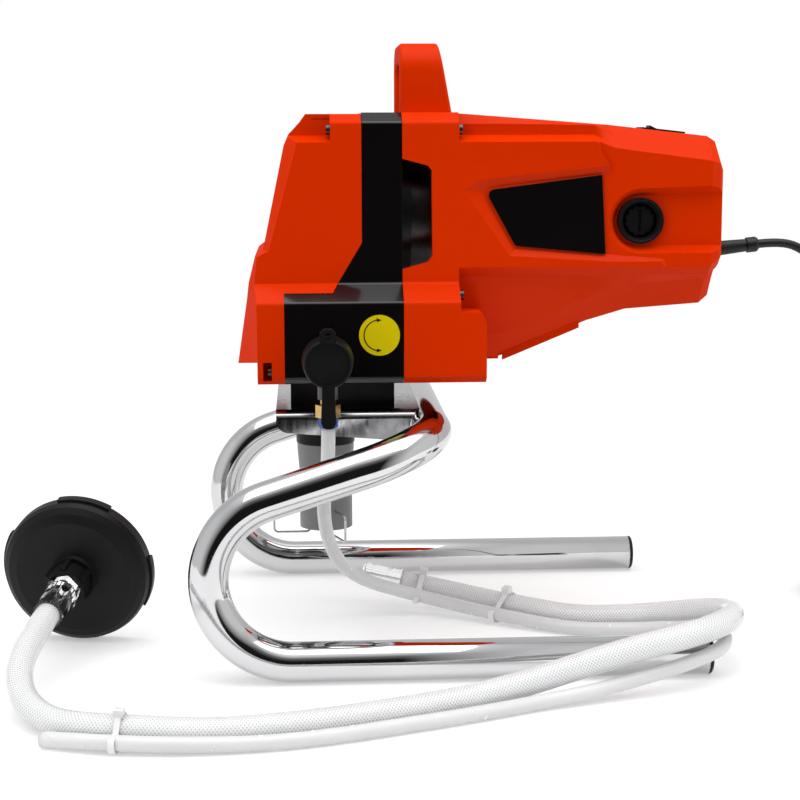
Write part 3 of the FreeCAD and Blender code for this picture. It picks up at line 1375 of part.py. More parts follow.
def make_prime_valve():
    x = s.valve_x
    z = s.valve_z
    thread_y = s.head_half - 14
    thread = rod("valve_thread", s.port_r - s.slide_fit, 15, x, -thread_y, z, "-y")
    barrel = rod("valve_barrel", s.valve_r, -s.valve_face_y - s.head_half, x, -s.head_half, z, "-y")
    elbow = rod("valve_elbow", s.elbow_r, z - s.elbow_base, x, s.elbow_y, s.elbow_base)
    stem_start = s.head_half + 4
    bores = [rod("valve_passage", 3, 30, x, -thread_y + 1, z, "-y"),
             rod("valve_stem_bore", s.stem_r + s.slide_fit, 40, x, -stem_start, z, "-y"),
             rod("valve_drain", s.elbow_r - 1.5, s.valve_z - s.elbow_base - 8, x, s.elbow_y, s.elbow_base - 1),
             rod("valve_drain_top", 2.2, 20, x, s.elbow_y, s.elbow_base)]
    node("valve_body", cut("valve_body", fuse("valve_solid", thread, barrel, elbow), *bores))

    # the stem is flattened where the drain passes, so that turning it opens the way
    stem_end = -s.knob_face_y - 4.5
    stem = rod("stem_bar", s.stem_r, stem_end - stem_start - 0.5, x, -stem_start - 0.5, z, "-y")
    flat = box("stem_flat", (x - 6, s.elbow_y - 3.5, z + 1.5), (x + 6, s.elbow_y + 3.5, z + 6))
    node("valve_stem", cut("valve_stem", stem, flat))

    back = s.knob_back_y
    face = s.knob_face_y
    high = back - face
    rim = [(0, 0), (s.knob_back_r - 0.7, 0), (s.knob_back_r, 0.7), (s.knob_face_r, high - 1.4),
           (s.knob_face_r - 0.4, high - 0.5), (s.knob_face_r - 1.2, high), (0, high)]
    disc = turned("knob_disc", rim, x, back, z, "-y")
    neck = s.lever_neck / 2
    end = s.lever_end / 2
    reach = s.lever_reach
    lever = padded("knob_lever", [(neck, -s.knob_face_r + 3), (neck, -s.knob_face_r - 6),
                                  (end, -reach + 4), (end - 1.2, -reach + 1), (end - 3, -reach),
                                  (3 - end, -reach), (1.2 - end, -reach + 1), (-end, -reach + 4),
                                  (-neck, -s.knob_face_r - 6), (-neck, -s.knob_face_r + 3)],
                   s.lever_thick, x, face + s.lever_thick, z, "-y")
    lug = padded("knob_lug", [(-5, 12), (5, 12), (5, s.knob_face_r + 3.6), (2.6, s.knob_face_r + 6.2),
                              (-2.6, s.knob_face_r + 6.2), (-5, s.knob_face_r + 3.6)],
                 s.lever_thick, x, face + s.lever_thick, z, "-y")
    dish = rod("knob_dish", s.knob_face_r - 2.2, 5, x, face + s.knob_dish, z, "-y")
    lug_hole = rod("knob_lug_hole", 2.0, 30, x, face + 20, z + s.knob_face_r + 2.2, "-y")
    bore = rod("knob_bore", s.stem_r + 0.02, stem_end + 0.3 + back + 0.5, x, back + 0.5, z, "-y")
    node("prime_knob", cut("prime_knob", fuse("knob_solid", disc, lever, lug), dish, lug_hole, bore))

    node("valve_label", rod("valve_label", s.label_r, s.label_thick, s.label_x, -s.low_half, s.label_z, "-y"))

    y = s.elbow_y
    hex_low = s.hex_top - s.hex_high
    neck_long = s.elbow_base + 5 - s.hex_top
    fitting = fuse("fitting_solid", hexagon("fitting_hex", s.hex_r, s.hex_high, x, y, hex_low),
                   rod("fitting_neck", s.elbow_r - 1.6, neck_long + 1, x, y, s.hex_top - 1),
                   rod("fitting_barb", 2.9, s.blue_collar_high + 1, x, y, hex_low - s.blue_collar_high))
    node("brass_fitting", cut("brass_fitting", fitting, rod("fitting_bore", 2.0, 40, x, y, hex_low - 10)))
    collar = [(s.return_dia / 2 + 0.02, 0), (s.blue_collar_r - 0.4, 0), (s.blue_collar_r, 0.6),
              (s.blue_collar_r, s.blue_collar_high - 0.6), (s.blue_collar_r - 0.4, s.blue_collar_high),
              (s.return_dia / 2 + 0.02, s.blue_collar_high)]
    node("blue_collar", turned("blue_collar", collar, x, y, hex_low - s.blue_collar_high))


# Drive: motor pinion, double idler, crank gear, crank and yoke
def gear_face(teeth, module, backlash=0.0):
    # straight flanked teeth around a wheel
    pitch_r = teeth * module / 2
    tip_r = pitch_r + module
    root_r = pitch_r - 1.25 * module
    step = 2 * math.pi / teeth
    root_half = math.pi * module / 2 / pitch_r * 0.78 - backlash / pitch_r
    tip_half = math.pi * module / 2 / pitch_r * 0.26 - backlash / pitch_r / 2
    points = []
    for tooth in range(int(teeth)):
        middle = tooth * step
        for radius, turn in ((root_r, -root_half), (tip_r, -tip_half), (tip_r, tip_half), (root_r, root_half)):
            points.append(Vec(0, radius * math.cos(middle + turn), radius * math.sin(middle + turn)))
    return points


def spur_gear(name, teeth, module, thick, x, y, z, phase, bore):
    # a wheel with its axis along x, one tooth at the given phase from +y
    outline = gear_face(round(float(teeth)), float(module), 0.12 * float(module))
    wheel = Part.Face(wire_of(outline)).extrude(Vec(float(thick), 0, 0))
    if bore:
        wheel = wheel.cut(Part.makeCylinder(float(bore), float(thick) + 2, Vec(-1, 0, 0), Vec(1, 0, 0)))
    return place(shaped(name, wheel), x, y, z, FreeCAD.Rotation(Vec(1, 0, 0), phase))


def mesh_phases(first_teeth, first_phase, second_teeth, bearing):
    # phase of the second wheel so that a gap faces a tooth of the first along the line of centres
    first_step = 360 / first_teeth
    second_step = 360 / second_teeth
    offset = ((bearing - first_phase) / first_step) % 1.0
    return bearing + 180 - (0.5 - offset) * second_step


def make_drive():
    slow_x = s.gear_room_x + 0.6
    fast_x = slow_x + s.slow_face + 0.8
    crank_teeth = round(float(s.crank_teeth))
    small_teeth = round(float(s.idler_small_teeth))
    big_teeth = round(float(s.idler_big_teeth))
    pinion_teeth = round(float(s.pinion_teeth))
    to_idler = math.degrees(math.atan2(float(s.idler_z - s.crank_z), float(s.idler_y)))
    to_motor = math.degrees(math.atan2(float(s.motor_z - s.idler_z), -float(s.idler_y)))
    crank_phase = 0.0
    small_phase = mesh_phases(crank_teeth, crank_phase, small_teeth, to_idler)
    big_phase = small_phase
    pinion_phase = mesh_phases(big_teeth, big_phase, pinion_teeth, to_motor)

    bore = s.crank_shaft_r + 0.02
    node("crank_gear", spur_gear("crank_gear", s.crank_teeth, s.slow_module, s.slow_face, slow_x, 0, s.crank_z,
                                 crank_phase, bore))
    small = spur_gear("idler_small", s.idler_small_teeth, s.slow_module, s.slow_face + 0.8, slow_x, s.idler_y,
                      s.idler_z, small_phase, s.idler_pin_r + s.slide_fit)
    big = spur_gear("idler_big", s.idler_big_teeth, s.fast_module, s.fast_face, fast_x, s.idler_y, s.idler_z,
                    big_phase, s.idler_pin_r + s.slide_fit)
    node("idler_gear", fuse("idler_gear", small, big))

    # bearing in the wall, crank shaft with its disc and the pin beyond it
    bearing_x = s.band_front_x + s.housing_wall - s.bearing_long
    ring = [(s.crank_shaft_r + s.slide_fit, 0), (s.bearing_r, 0), (s.bearing_r, s.bearing_long),
            (s.crank_shaft_r + s.slide_fit, s.bearing_long)]
    node("crank_bearing", turned("crank_bearing", ring, bearing_x, 0, s.crank_z, "+x"))
    disc_x = bearing_x - 0.5 - 7
    pin_end = s.pump_x - s.yoke_thick / 2 - 2
    shaft = rod("crank_shaft_bar", s.crank_shaft_r, slow_x + s.slow_face - bearing_x + 0.5, bearing_x - 0.5, 0,
                s.crank_z, "+x")
    stub = rod("crank_stub", s.shaft_r, s.band_rear_x + 5 - slow_x - s.slow_face, slow_x + s.slow_face, 0,
               s.crank_z, "+x")
    disc = rod("crank_disc", s.crank_disc_r, 7, disc_x, 0, s.crank_z, "+x")
    pin = rod("crank_pin", s.crank_pin_r, disc_x + 1 - pin_end, pin_end, s.crank_throw, s.crank_z, "+x")
    roller = rod("crank_roller", s.roller_r, s.yoke_thick + 1, s.pump_x - (s.yoke_thick + 1) / 2,
                 s.crank_throw, s.crank_z, "+x")
    node("crank_shaft", fuse("crank_shaft", shaft, stub, disc, pin, roller))

    window = s.roller_r + s.crank_throw + s.yoke_gap
    frame = window + s.yoke_wall
    yoke_x = s.pump_x - s.yoke_thick / 2
    block = box("yoke_block", (yoke_x, -frame, s.crank_z - frame), (yoke_x + s.yoke_thick, frame, s.crank_z + frame))
    hole = box("yoke_window", (yoke_x - 1, -window, s.crank_z - window),
               (yoke_x + s.yoke_thick + 1, window, s.crank_z + window))
    foot = s.crank_z - frame
    low = s.valve_z + s.piston_low
    plunger = rod("piston_rod", s.piston_r, foot - low + 1, s.pump_x, 0, low)
    node("piston", fuse("piston", cut("piston_yoke", block, hole), plunger))


def make_motor():
    z = s.motor_z
    front = s.can_front_x
    rear = s.can_rear_x
    ring_x = s.band_rear_x
    ring_long = front - ring_x
    hub_end = rear - s.can_wall + ring_long
    can = [(s.can_r - s.can_wall, front), (s.can_r, front), (s.can_r, rear), (s.motor_bearing_r + 4, rear),
           (s.motor_bearing_r + 4, hub_end), (s.motor_bearing_r + 0.02, hub_end),
           (s.motor_bearing_r + 0.02, rear - s.can_wall), (s.can_r - s.can_wall, rear - s.can_wall)]
    node("motor_can", turned("motor_can", [(r, x - front) for r, x in can], front, 0, z, "+x"))
    plate = rod("ring_plate", s.ring_r, ring_long, ring_x, 0, z, "+x")
    holes = [rod("ring_bearing_hole", s.motor_bearing_r + 0.02, 20, ring_x - 5, 0, z, "+x"),
             rod("ring_stub_hole", s.shaft_r + s.slide_fit, 20, ring_x - 5, 0, s.crank_z, "+x")]
    for index in range(6):
        turn = math.radians(60 * index + 30)
        if index == 4:
            continue
        holes.append(rod("ring_air_%d" % index, 6, 20, ring_x - 5, 28 * math.cos(turn), z + 28 * math.sin(turn), "+x"))
    node("motor_ring", cut("motor_ring", plate, *holes))

    race = [(s.shaft_r + s.slide_fit, 0), (s.motor_bearing_r, 0), (s.motor_bearing_r, ring_long),
            (s.shaft_r + s.slide_fit, ring_long)]
    front_race = turned("bearing_front", race, ring_x, 0, z, "+x")
    rear_race = turned("bearing_rear", [(r, h) for r, h in race], rear - s.can_wall, 0, z, "+x")
    node("motor_bearings", group("motor_bearings", front_race, rear_race))

    magnets = []
    inner = float(s.magnet_r)
    outer = float(s.can_r - s.can_wall) - 0.2
    long = float(s.core_rear_x - s.core_front_x) + 6
    for index in range(4):
        ring = Part.makeCylinder(outer, long).cut(Part.makeCylinder(inner, long))
        wedge = Part.makeCylinder(outer + 2, long, Vec(0, 0, 0), Vec(0, 0, 1), 70)
        turn = FreeCAD.Rotation(Vec(1, 0, 0), 90 * index + 10).multiply(TURNS["+x"])
        magnets.append(place(shaped("magnet_%d" % index, ring.common(wedge)), s.core_front_x - 3, 0, z, turn))
    node("motor_magnets", group("motor_magnets", *magnets))

    pinion_x = s.gear_room_x + 0.6 + s.slow_face + 0.8
    teeth = round(float(s.pinion_teeth))
    to_idler = math.degrees(math.atan2(float(s.idler_z - s.crank_z), float(s.idler_y)))
    to_motor = math.degrees(math.atan2(float(s.motor_z - s.idler_z), -float(s.idler_y)))
    small_phase = mesh_phases(round(float(s.crank_teeth)), 0.0, round(float(s.idler_small_teeth)), to_idler)
    phase = mesh_phases(round(float(s.idler_big_teeth)), small_phase, teeth, to_motor)
    pinion = spur_gear("pinion", s.pinion_teeth, s.fast_module, s.fast_face, pinion_x, 0, z, phase, 0)
    neck = rod("rotor_neck", 3.5, ring_x - pinion_x - s.fast_face + 1, pinion_x + s.fast_face - 0.5, 0, z, "+x")
    shaft = rod("rotor_bar", s.shaft_r, s.fan_x + 10 - ring_x, ring_x, 0, z, "+x")
    node("rotor_shaft", fuse("rotor_shaft", pinion, neck, shaft))

    count = round(float(s.core_slots))
    core_r = float(s.core_r)
    outline = []
    for index in range(count):
        for radius, share in ((core_r - 9, -0.3), (core_r - 3, -0.3), (core_r - 3, -0.42), (core_r, -0.42),
                              (core_r, 0), (core_r, 0.42), (core_r - 3, 0.42), (core_r - 3, 0.3),
                              (core_r - 9, 0.3)):
            turn = 2 * math.pi * (index + share) / count
            outline.append(Vec(0, radius * math.cos(turn), radius * math.sin(turn)))
    long = float(s.core_rear_x - s.core_front_x)
    core = Part.Face(wire_of(outline)).extrude(Vec(long, 0, 0))
    core = core.cut(Part.makeCylinder(float(s.shaft_r) + 0.02, long, Vec(0, 0, 0), Vec(1, 0, 0)))
    node("motor_core", place(shaped("motor_core", core), s.core_front_x, 0, z, FreeCAD.Rotation()))
    bars = [(s.shaft_r + 0.02, 0), (s.commutator_r + 2, 0), (s.commutator_r + 2, 2), (s.commutator_r, 2),
            (s.commutator_r, 14), (s.shaft_r + 0.02, 14)]
    node("commutator", turned("commutator", bars, s.core_rear_x + 4, 0, z, "+x"))

    brushes = []
    for index, way in enumerate((-1, 1)):
        near = s.commutator_r + 0.06
        far = s.can_r - s.can_wall - 0.3
        low = near if way > 0 else -far
        high = far if way > 0 else -near
        brushes.append(box("brush_%d" % index, (s.core_rear_x + 8, low, z - 3), (s.core_rear_x + 16, high, z + 3)))
    node("brush_holders", group("brush_holders", *brushes))

    hub = rod("fan_hub", s.shaft_r + 6, 8, s.fan_x, 0, z, "+x")
    back = rod("fan_back", s.fan_r, 1.6, s.fan_x + 6.4, 0, z, "+x")
    blades = []
    for index in range(round(float(s.fan_blades))):
        turn = FreeCAD.Rotation(Vec(1, 0, 0), 360 / float(s.fan_blades) * index)
        tip = float(s.fan_r) - 2
        blade = prism([Vec(0, -0.75, 9), Vec(0, 0.75, 9), Vec(0, 9, tip), Vec(0, 7.5, tip)], Vec(6.5, 0, 0))
        blades.append(place(shaped("fan_blade_%d" % index, blade), s.fan_x, 0, z, turn))
    bore = rod("fan_bore", s.shaft_r + 0.02, 20, s.fan_x - 5, 0, z, "+x")
    node("cooling_fan", cut("cooling_fan", fuse("fan_solid", hub, back, *blades), bore))


# Power cord, hoses and strainer
def biarc(start, way1, end, way2):
    # two tangent arcs from one point and direction to another
    span = end - start
    ways = way1 + way2
    a = 2 * (way1.dot(way2) - 1)
    b = -2 * span.dot(ways)
    c = span.dot(span)
    reach = (-b - math.sqrt(b * b - 4 * a * c)) / (2 * a) if abs(a) > 1e-9 else -c / b
    first = start + way1 * reach
    second = end - way2 * reach
    middle = (first + second) / 2
    edges = []
    for low, tip, high in ((start, first, middle), (middle, second, end)):
        chord = (low + high) / 2
        lean = (low - chord).Length / reach
        edges.append(arc_edge(low, chord + (tip - chord) * (lean / (1 + lean)), high))
    return edges


def coil_edges(centre, inner, pitch, rise):
    # four layers of rings: half a turn round the middle, half a turn shifted to the next ring
    radii = [inner + 2 * pitch, inner + pitch, inner]
    steps = [(radii[0], radii[1], 0), (radii[1], radii[2], 0)]
    for layer in range(1, 4):
        radii.reverse()
        steps += [(radii[0], radii[1], 1), (radii[1], radii[2], 0)]
    height = centre.z
    edges = []
    for radius, following, climbs in steps + [(radii[2], None, 0)]:
        left = Vec(centre.x - radius, centre.y, height)
        right = Vec(centre.x + radius, centre.y, height + climbs * rise)
        top = Vec(centre.x, centre.y + radius, height + climbs * rise / 2)
        slope = climbs * rise * 1.5 / (math.pi * radius)
        along = Vec(1, 0, slope).normalize()
        edges += biarc(left, Vec(0, 1, 0), top, along)
        edges += biarc(top, along, right, Vec(0, -1, 0))
        height = right.z
        if following is None:
            return edges, right
        mean = (radius + following) / 2
        shift = centre.x + (radius - following) / 2
        low = Vec(shift, centre.y - mean, height)
        half = mean * math.sqrt(0.5)
        edges.append(arc_edge(right, Vec(shift + half, centre.y - half, height), low))
        edges.append(arc_edge(low, Vec(shift - half, centre.y - half, height),
                              Vec(shift - mean, centre.y, height)))


def least_gap(edges, dia):
    # smallest clear space between turns that are not neighbours along the cord
    places = []
    along = 0.0
    for edge in edges:
        for step in range(6):
            parameter = edge.FirstParameter + (edge.LastParameter - edge.FirstParameter) * step / 6
            places.append((along + edge.Length * step / 6, edge.valueAt(parameter)))
        along += edge.Length
    return min((first - second).Length for index, (far, first) in enumerate(places)
               for near, second in places[:index] if far - near > 6 * dia) - dia


def make_power_cord():
    z = float(s.cord_z)
    tail = s.tail_end_x
    tilt = float(s.relief_tilt)
    wall = s.shell_wall
    grommet = [(0, 0), (s.relief_base_r, 0), (s.relief_base_r, 3), (s.relief_r, 3), (s.relief_r, 3 + wall),
               (s.relief_base_r + 0.8, 3 + wall), (s.relief_base_r + 0.8, 5 + wall),
               (s.relief_base_r, 6.5 + wall), (0, 6.5 + wall)]
    base = turned("relief_grommet", grommet, tail - wall - 3, 0, s.cord_z, "+x")
    long = s.relief_x - tail
    collar_end = s.relief_collar_x - tail
    sleeve = [(0, 1), (s.relief_base_r, 1), (s.relief_r, long), (s.relief_r - 0.8, long),
              (s.relief_r - 0.8, long + 1.2), (s.relief_collar_r, long + 1.2),
              (s.relief_collar_r, collar_end - 1.5), (s.relief_collar_r - 1.2, collar_end), (0, collar_end)]
    lean = FreeCAD.Rotation(Vec(0, 1, 0), 90 - tilt)
    node("cord_relief", fuse("cord_relief", base, turned("relief_sleeve", sleeve, tail, 0, s.cord_z, lean)))

    dia = s.cord_dia
    run = float(s.relief_collar_x - tail)
    tip = Vec(float(tail) + run * math.cos(math.radians(tilt)), 0, z + run * math.sin(math.radians(tilt)))
    centre = Vec(float(s.coil_x), float(s.coil_y), float(dia) / 2 + 0.2)
    inner = float(s.coil_mid_r) - float(s.coil_pitch)
    touch_x = centre.x - float(s.coil_mid_r) - float(s.coil_pitch)
    touch_y = centre.y - float(dia)
    fall_y = touch_y - 58
    drop = [tip, tip + Vec(16.5, 0, 1.75), tip + Vec(31.9, 0, -3.85), tip + Vec(43, -1, -15.2),
            tip + Vec(50.4, -2.5, -31.6), tip + Vec(53, -5, -54.4), Vec(touch_x - 6, fall_y + 12, z - 85),
            Vec(touch_x - 3, fall_y + 5, z - 135),
            Vec(touch_x - 1, fall_y, centre.z + 70), Vec(touch_x, fall_y + 3, centre.z + 38),
            Vec(touch_x, fall_y + 16, centre.z + 13), Vec(touch_x, touch_y - 18, centre.z),
            Vec(touch_x, touch_y, centre.z)]
    node("power_cord", cord_solid("power_cord", drop, dia))

    edges, end = coil_edges(centre, inner, float(s.coil_pitch), float(s.coil_rise))
    lead_in = Part.LineSegment(Vec(touch_x, touch_y, centre.z), Vec(touch_x, centre.y, centre.z)).toShape()
    lead_out = Part.LineSegment(end, end - Vec(0, float(dia), 0)).toShape()
    path = Part.Wire([lead_in] + edges + [lead_out])
    ring = Part.Wire([Part.makeCircle(float(dia) / 2, Vec(touch_x, touch_y, centre.z), Vec(0, 1, 0))])
    coil = path.makePipeShell([ring], True, False)
    print("coil length %.0f, least gap %.2f, volume share %.3f" % (
        path.Length, least_gap([lead_in] + edges + [lead_out], float(dia)),
        coil.Volume / (math.pi * float(dia) ** 2 / 4 * path.Length)))
    node("power_cord_coil", shaped("power_cord_coil", coil))

    out = end - Vec(0, float(dia), 0)
    plug_z = float(s.plug_r) + 0.3
    lead = [out, out + Vec(0, -13, 0), Vec(out.x + 2.6, out.y - 28, (out.z + plug_z) / 2 - 0.4),
            Vec(out.x + 4, out.y - 42, plug_z), Vec(out.x + 4, out.y - 55, plug_z)]
    node("plug_lead", cord_solid("plug_lead", lead, dia))
    body = [(0, 0), (4.2, 0), (5.2, 9), (s.plug_r - 5, 14), (s.plug_r, 20), (s.plug_r, s.plug_long + 8),
            (s.plug_r - 1.5, s.plug_long + 9.5), (0, s.plug_long + 9.5)]
    parts = [turned("plug_body", body, lead[-1].x, lead[-1].y, plug_z, "-y")]
    for side in (-1, 1):
        parts.append(rod("plug_pin_%d" % (side + 1), s.pin_r, s.pin_long + 1,
                         lead[-1].x + side * float(s.pin_gap) / 2, lead[-1].y - float(s.plug_long) - 8.5,
                         plug_z, "-y"))
    node("mains_plug", fuse("mains_plug", *parts))


def hose_route():
    # suction hose from its loose connector, round behind the skid end, to the strainer
    low = float(s.hose_dia) / 2 + 0.3
    tied = low + float(s.tie_play) + 1.2
    skid = float(s.skid_end_x) - 149.5
    return [Vec(-33, 31, low + 10.7), Vec(-5, 26, low + 5.2), Vec(25, 9, tied + 0.3), Vec(55, -16, tied),
            Vec(85, -32, low), Vec(120.8 + skid, -36.7, low + 1.7), Vec(147.1 + skid, -50.4, low + 7.7),
            Vec(165.2 + skid, -74, low + 16.2), Vec(171.6 + skid, -103, low + 23.2),
            Vec(165.2 + skid, -132, low + 27.2), Vec(147.1 + skid, -155.6, low + 28.2),
            Vec(120.8 + skid, -169.3, low + 25.7), Vec(92, -174, low + 20.7), Vec(60, -177, low + 12.2),
            Vec(26, -184, low + 4.2), Vec(-10, -197, low), Vec(-47, -213, low), Vec(-90, -229, low),
            Vec(-128, -238, low), Vec(-158, -241, low), Vec(-187, -240.2, tied), Vec(-220, -233.5, tied),
            Vec(-242, -221.5, low + 0.4), Vec(-258, -204, low + 2.8), Vec(-267.5, -184, low + 8.2),
            Vec(-271, -160, low + 16.2), strainer_point(s.tail_end + 24), strainer_point(s.tail_end)]


def tube_route():
    # return tube from the priming valve down to the floor and along the hose
    low = float(s.return_dia) / 2 + 0.3
    tied = low + float(s.tie_play) + 1.2
    top = float(s.hex_top - s.hex_high - s.blue_collar_high)
    x = float(s.valve_x)
    y = float(s.elbow_y)
    skid = float(s.skid_end_x) - 149.5
    return [Vec(x, y, top), Vec(x, y, top - 23), Vec(x - 3.3, y + 6, top - 47), Vec(x - 2.8, y + 20, 84),
            Vec(-84, -45, 64), Vec(-76, -27, 46), Vec(-61, -9, 31), Vec(-38, 5, 20), Vec(-13, 9, 12),
            Vec(17, -7, tied + 1.6), Vec(48, -29, tied), Vec(79, -46, low), Vec(112 + skid, -52, low + 0.7),
            Vec(139 + skid, -62, low + 4.2), Vec(157 + skid, -81, low + 9.7), Vec(164 + skid, -105, low + 14.2),
            Vec(163 + skid, -129, low + 16.5), Vec(153 + skid, -150, low + 15.7),
            Vec(132 + skid, -164, low + 12.7), Vec(103, -174, low + 7.7), Vec(70, -184, low + 2.7),
            Vec(36, -193.5, low), Vec(-4.4, -212, low), Vec(-42, -226.3, low), Vec(-86, -242.8, low),
            Vec(-128, -252.3, low), Vec(-180, -254.6, tied), Vec(-224, -246.4, tied), Vec(-247, -236.5, low)]


def tie_band(name, hose_mid, way, tube_spot, hose_r, tube_r):
    # strap round both tubes with its square head on top
    way = Vec(way).normalize()
    across = tube_spot - hose_mid
    across = across - way * across.dot(way)
    gap = across.Length
    across.normalize()
    up = way.cross(across)
    if up.z < 0:
        up = -up
    wide = float(s.tie_wide)
    start = hose_mid - way * (wide / 2)
    shells = []
    for grow in (float(s.tie_play) + 1.1, float(s.tie_play)):
        big = hose_r + grow
        small = tube_r + grow
        lean = (big - small) / gap
        rise = math.sqrt(1 - lean * lean)
        corners = []
        for spot, radius in ((start, big), (start + across * gap, small)):
            corners.append([spot + across * (radius * lean) + up * (radius * rise),
                            spot + across * (radius * lean) - up * (radius * rise)])
        hull = prism([corners[0][0], corners[1][0], corners[1][1], corners[0][1]], way * wide)
        shells.append(hull.fuse([Part.makeCylinder(big, wide, start, way),
                                 Part.makeCylinder(small, wide, start + across * gap, way)]))
    band = shells[0].cut(shells[1])
    reach = hose_r + float(s.tie_play) + 1.1
    head = Part.makeBox(5.4, 5.4, 4.6, Vec(-2.7, -2.7, reach - 0.8))
    tail = Part.makeBox(wide, 1.1, 9, Vec(-wide / 2, -0.5, reach + 1))
    turn = FreeCAD.Rotation(way, way.cross(up), up, "ZXY")
    knot = head.fuse(tail)
    knot.Placement = FreeCAD.Placement(hose_mid, turn)
    return shaped(name, band.fuse(knot).removeSplitter())


def make_ties(hose, tube):
    ties = []
    for index, (run, other) in enumerate(((0, 7), (2, 9), (20, 26))):
        hose_mid = (hose[run] + hose[run + 1]) / 2
        way = hose[run + 1] - hose[run]
        low = tube[other]
        line = tube[other + 1] - low
        share = (hose_mid - low).dot(way) / line.dot(way)
        spot = low + line * min(max(share, 0.46), 0.54)
        ties.append(tie_band("cable_tie_%d" % index, hose_mid, way, spot, float(s.hose_dia) / 2,
                             float(s.return_dia) / 2))
    node("cable_ties", group("cable_ties", *ties))


def strainer_turn():
    # local z of the strainer points along the hose tail
    yaw = math.radians(float(s.strainer_yaw))
    tilt = math.radians(float(s.strainer_tilt))
    way = Vec(-math.sin(yaw) * math.cos(tilt), -math.cos(yaw) * math.cos(tilt), -math.sin(tilt))
    return FreeCAD.Rotation(Vec(0, 0, 1), way), way


def strainer_point(along):
    turn, way = strainer_turn()
    return Vec(float(s.strainer_x), float(s.strainer_y), float(s.strainer_z)) + way * float(along)


def make_strainer():
    turn, way = strainer_turn()
    x = s.strainer_x
    y = s.strainer_y
    z = s.strainer_z
    r = s.strainer_r
    wall = s.strainer_wall
    deep = s.strainer_deep - 8
    bowl = [(4, 5), (r * 0.74, 5), (r - 7, 3), (r - wall, -1), (r - wall, -deep), (r, -deep), (r, -0.5),
            (r - 1.4, 3.2), (r - 5, 6.2), (r * 0.78, 8), (15.5, 8), (14.5, 10.5), (9, 10.5), (9, 27.5),
            (4, 27.5)]
    bowl_body = turned("strainer_bowl", bowl, x, y, z, turn)
    lobes = []
    for index in range(4):
        lobe = Part.makeCylinder(float(r) + 1.6, 6, Vec(0, 0, -float(deep)), Vec(0, 0, 1), 41)
        lobe = lobe.cut(Part.makeCylinder(float(r) - 1.5, 6, Vec(0, 0, -float(deep))))
        spin = turn.multiply(FreeCAD.Rotation(Vec(0, 0, 1), float(s.lobe_turn) + 90 * index))
        lobes.append(place(shaped("strainer_lobe_%d" % index, lobe), x, y, z, spin))
    node("strainer_cover", fuse("strainer_cover", bowl_body, *lobes))

    mesh = Part.makeCylinder(float(r - wall) - 0.05, 1.6, Vec(0, 0, -float(deep) + 1))
    slots = []
    for ring in range(3):
        for index in range(6 + 4 * ring):
            hole = Part.makeCylinder(2.6, 4, Vec(12 + 12 * ring, 0, -float(deep)))
            hole.rotate(Vec(0, 0, 0), Vec(0, 0, 1), 360 / (6 + 4 * ring) * index)
            slots.append(hole)
    node("strainer_screen", place(shaped("strainer_screen", mesh.cut(slots)), x, y, z, turn))

    start = strainer_point(13)
    nut = rod("nut_ring", s.nut_r, s.nut_long, start.x, start.y, start.z, turn)
    ribs = []
    for index in range(6):
        rib = Part.makeBox(3.4, 3.0, float(s.nut_long) - 2, Vec(float(s.nut_r) - 1, -1.5, 0))
        spin = turn.multiply(FreeCAD.Rotation(Vec(0, 0, 1), 60 * index + 20))
        ribs.append(place(shaped("nut_rib_%d" % index, rib), start.x, start.y, start.z, spin))
    bore = rod("nut_bore", 9 + s.slide_fit, s.nut_long + 4, start.x, start.y, start.z, turn)
    bore.Placement.Base = strainer_point(11)
    node("strainer_nut", cut("strainer_nut", fuse("nut_solid", nut, *ribs), bore))

    hex_start = strainer_point(s.nut_long + 13.5)
    hexa = hexagon("tail_hex", s.tail_hex_r, s.tail_hex_long, hex_start.x, hex_start.y, hex_start.z, turn)
    sleeve = [(3.5, 0), (s.sleeve_r + 0.4, 0), (s.sleeve_r, s.tail_end - s.nut_long - 13.5),
              (3.5, s.tail_end - s.nut_long - 13.5)]
    body = turned("tail_sleeve", sleeve, hex_start.x, hex_start.y, hex_start.z, turn)
    hole = rod("tail_bore", 3.5, 100, hex_start.x, hex_start.y, hex_start.z, turn)
    node("hose_tail", cut("hose_tail", fuse("tail_solid", hexa, body), hole))


def make_connector(hose):
    # clear plastic push-in spigot on the loose end of the suction hose
    way = (hose[0] - hose[1]).normalize()
    turn = FreeCAD.Rotation(Vec(0, 0, 1), way)
    long = s.socket_long + 4
    r = s.hose_dia / 2 + 0.4
    outline = [(3.5, 0), (r + 0.8, 0), (r + 0.8, 2.2), (r, 2.2), (r, 8), (r - 0.9, 8), (r - 0.9, 10), (r, 10),
               (r, long - 8), (r - 0.9, long - 8), (r - 0.9, long - 6), (r, long - 6), (r, long - 1.5),
               (r - 1.5, long), (3.5, long)]
    spigot = turned("spigot_turned", outline, hose[0].x, hose[0].y, hose[0].z, turn)
    node("suction_connector", spigot)


def make_hoses():
    hose = hose_route()
    tube = tube_route()
    make_strainer()
    make_connector(hose)
    node("suction_hose", cord_solid("suction_hose", hose, s.hose_dia))
    node("return_tube", cord_solid("return_tube", tube, s.return_dia))
    make_ties(hose, tube)


make_stand()
make_plate()
make_pump_bolts()
make_gear_housing()
make_front_cover()
make_rear_housing()
make_side_panels()
make_controls()
make_screws()
make_pump()
make_inlet()
make_clips()
make_outlet()
make_prime_valve()
make_drive()
make_motor()
make_power_cord()
make_hoses()
doc.recompute()

faults = []
for thing in doc.Objects:
    if "Invalid" in thing.State or "Error" in thing.State:
        faults.append(thing.Name + " " + " ".join(thing.State))
for thing in nodes:
    shape = thing.Shape
    if shape.isNull() or not shape.isValid():
        faults.append(thing.Label + " has no valid shape")
    elif shape.Volume <= 0:
        faults.append(thing.Label + " is inside out")
if faults:
    raise RuntimeError("; ".join(faults))

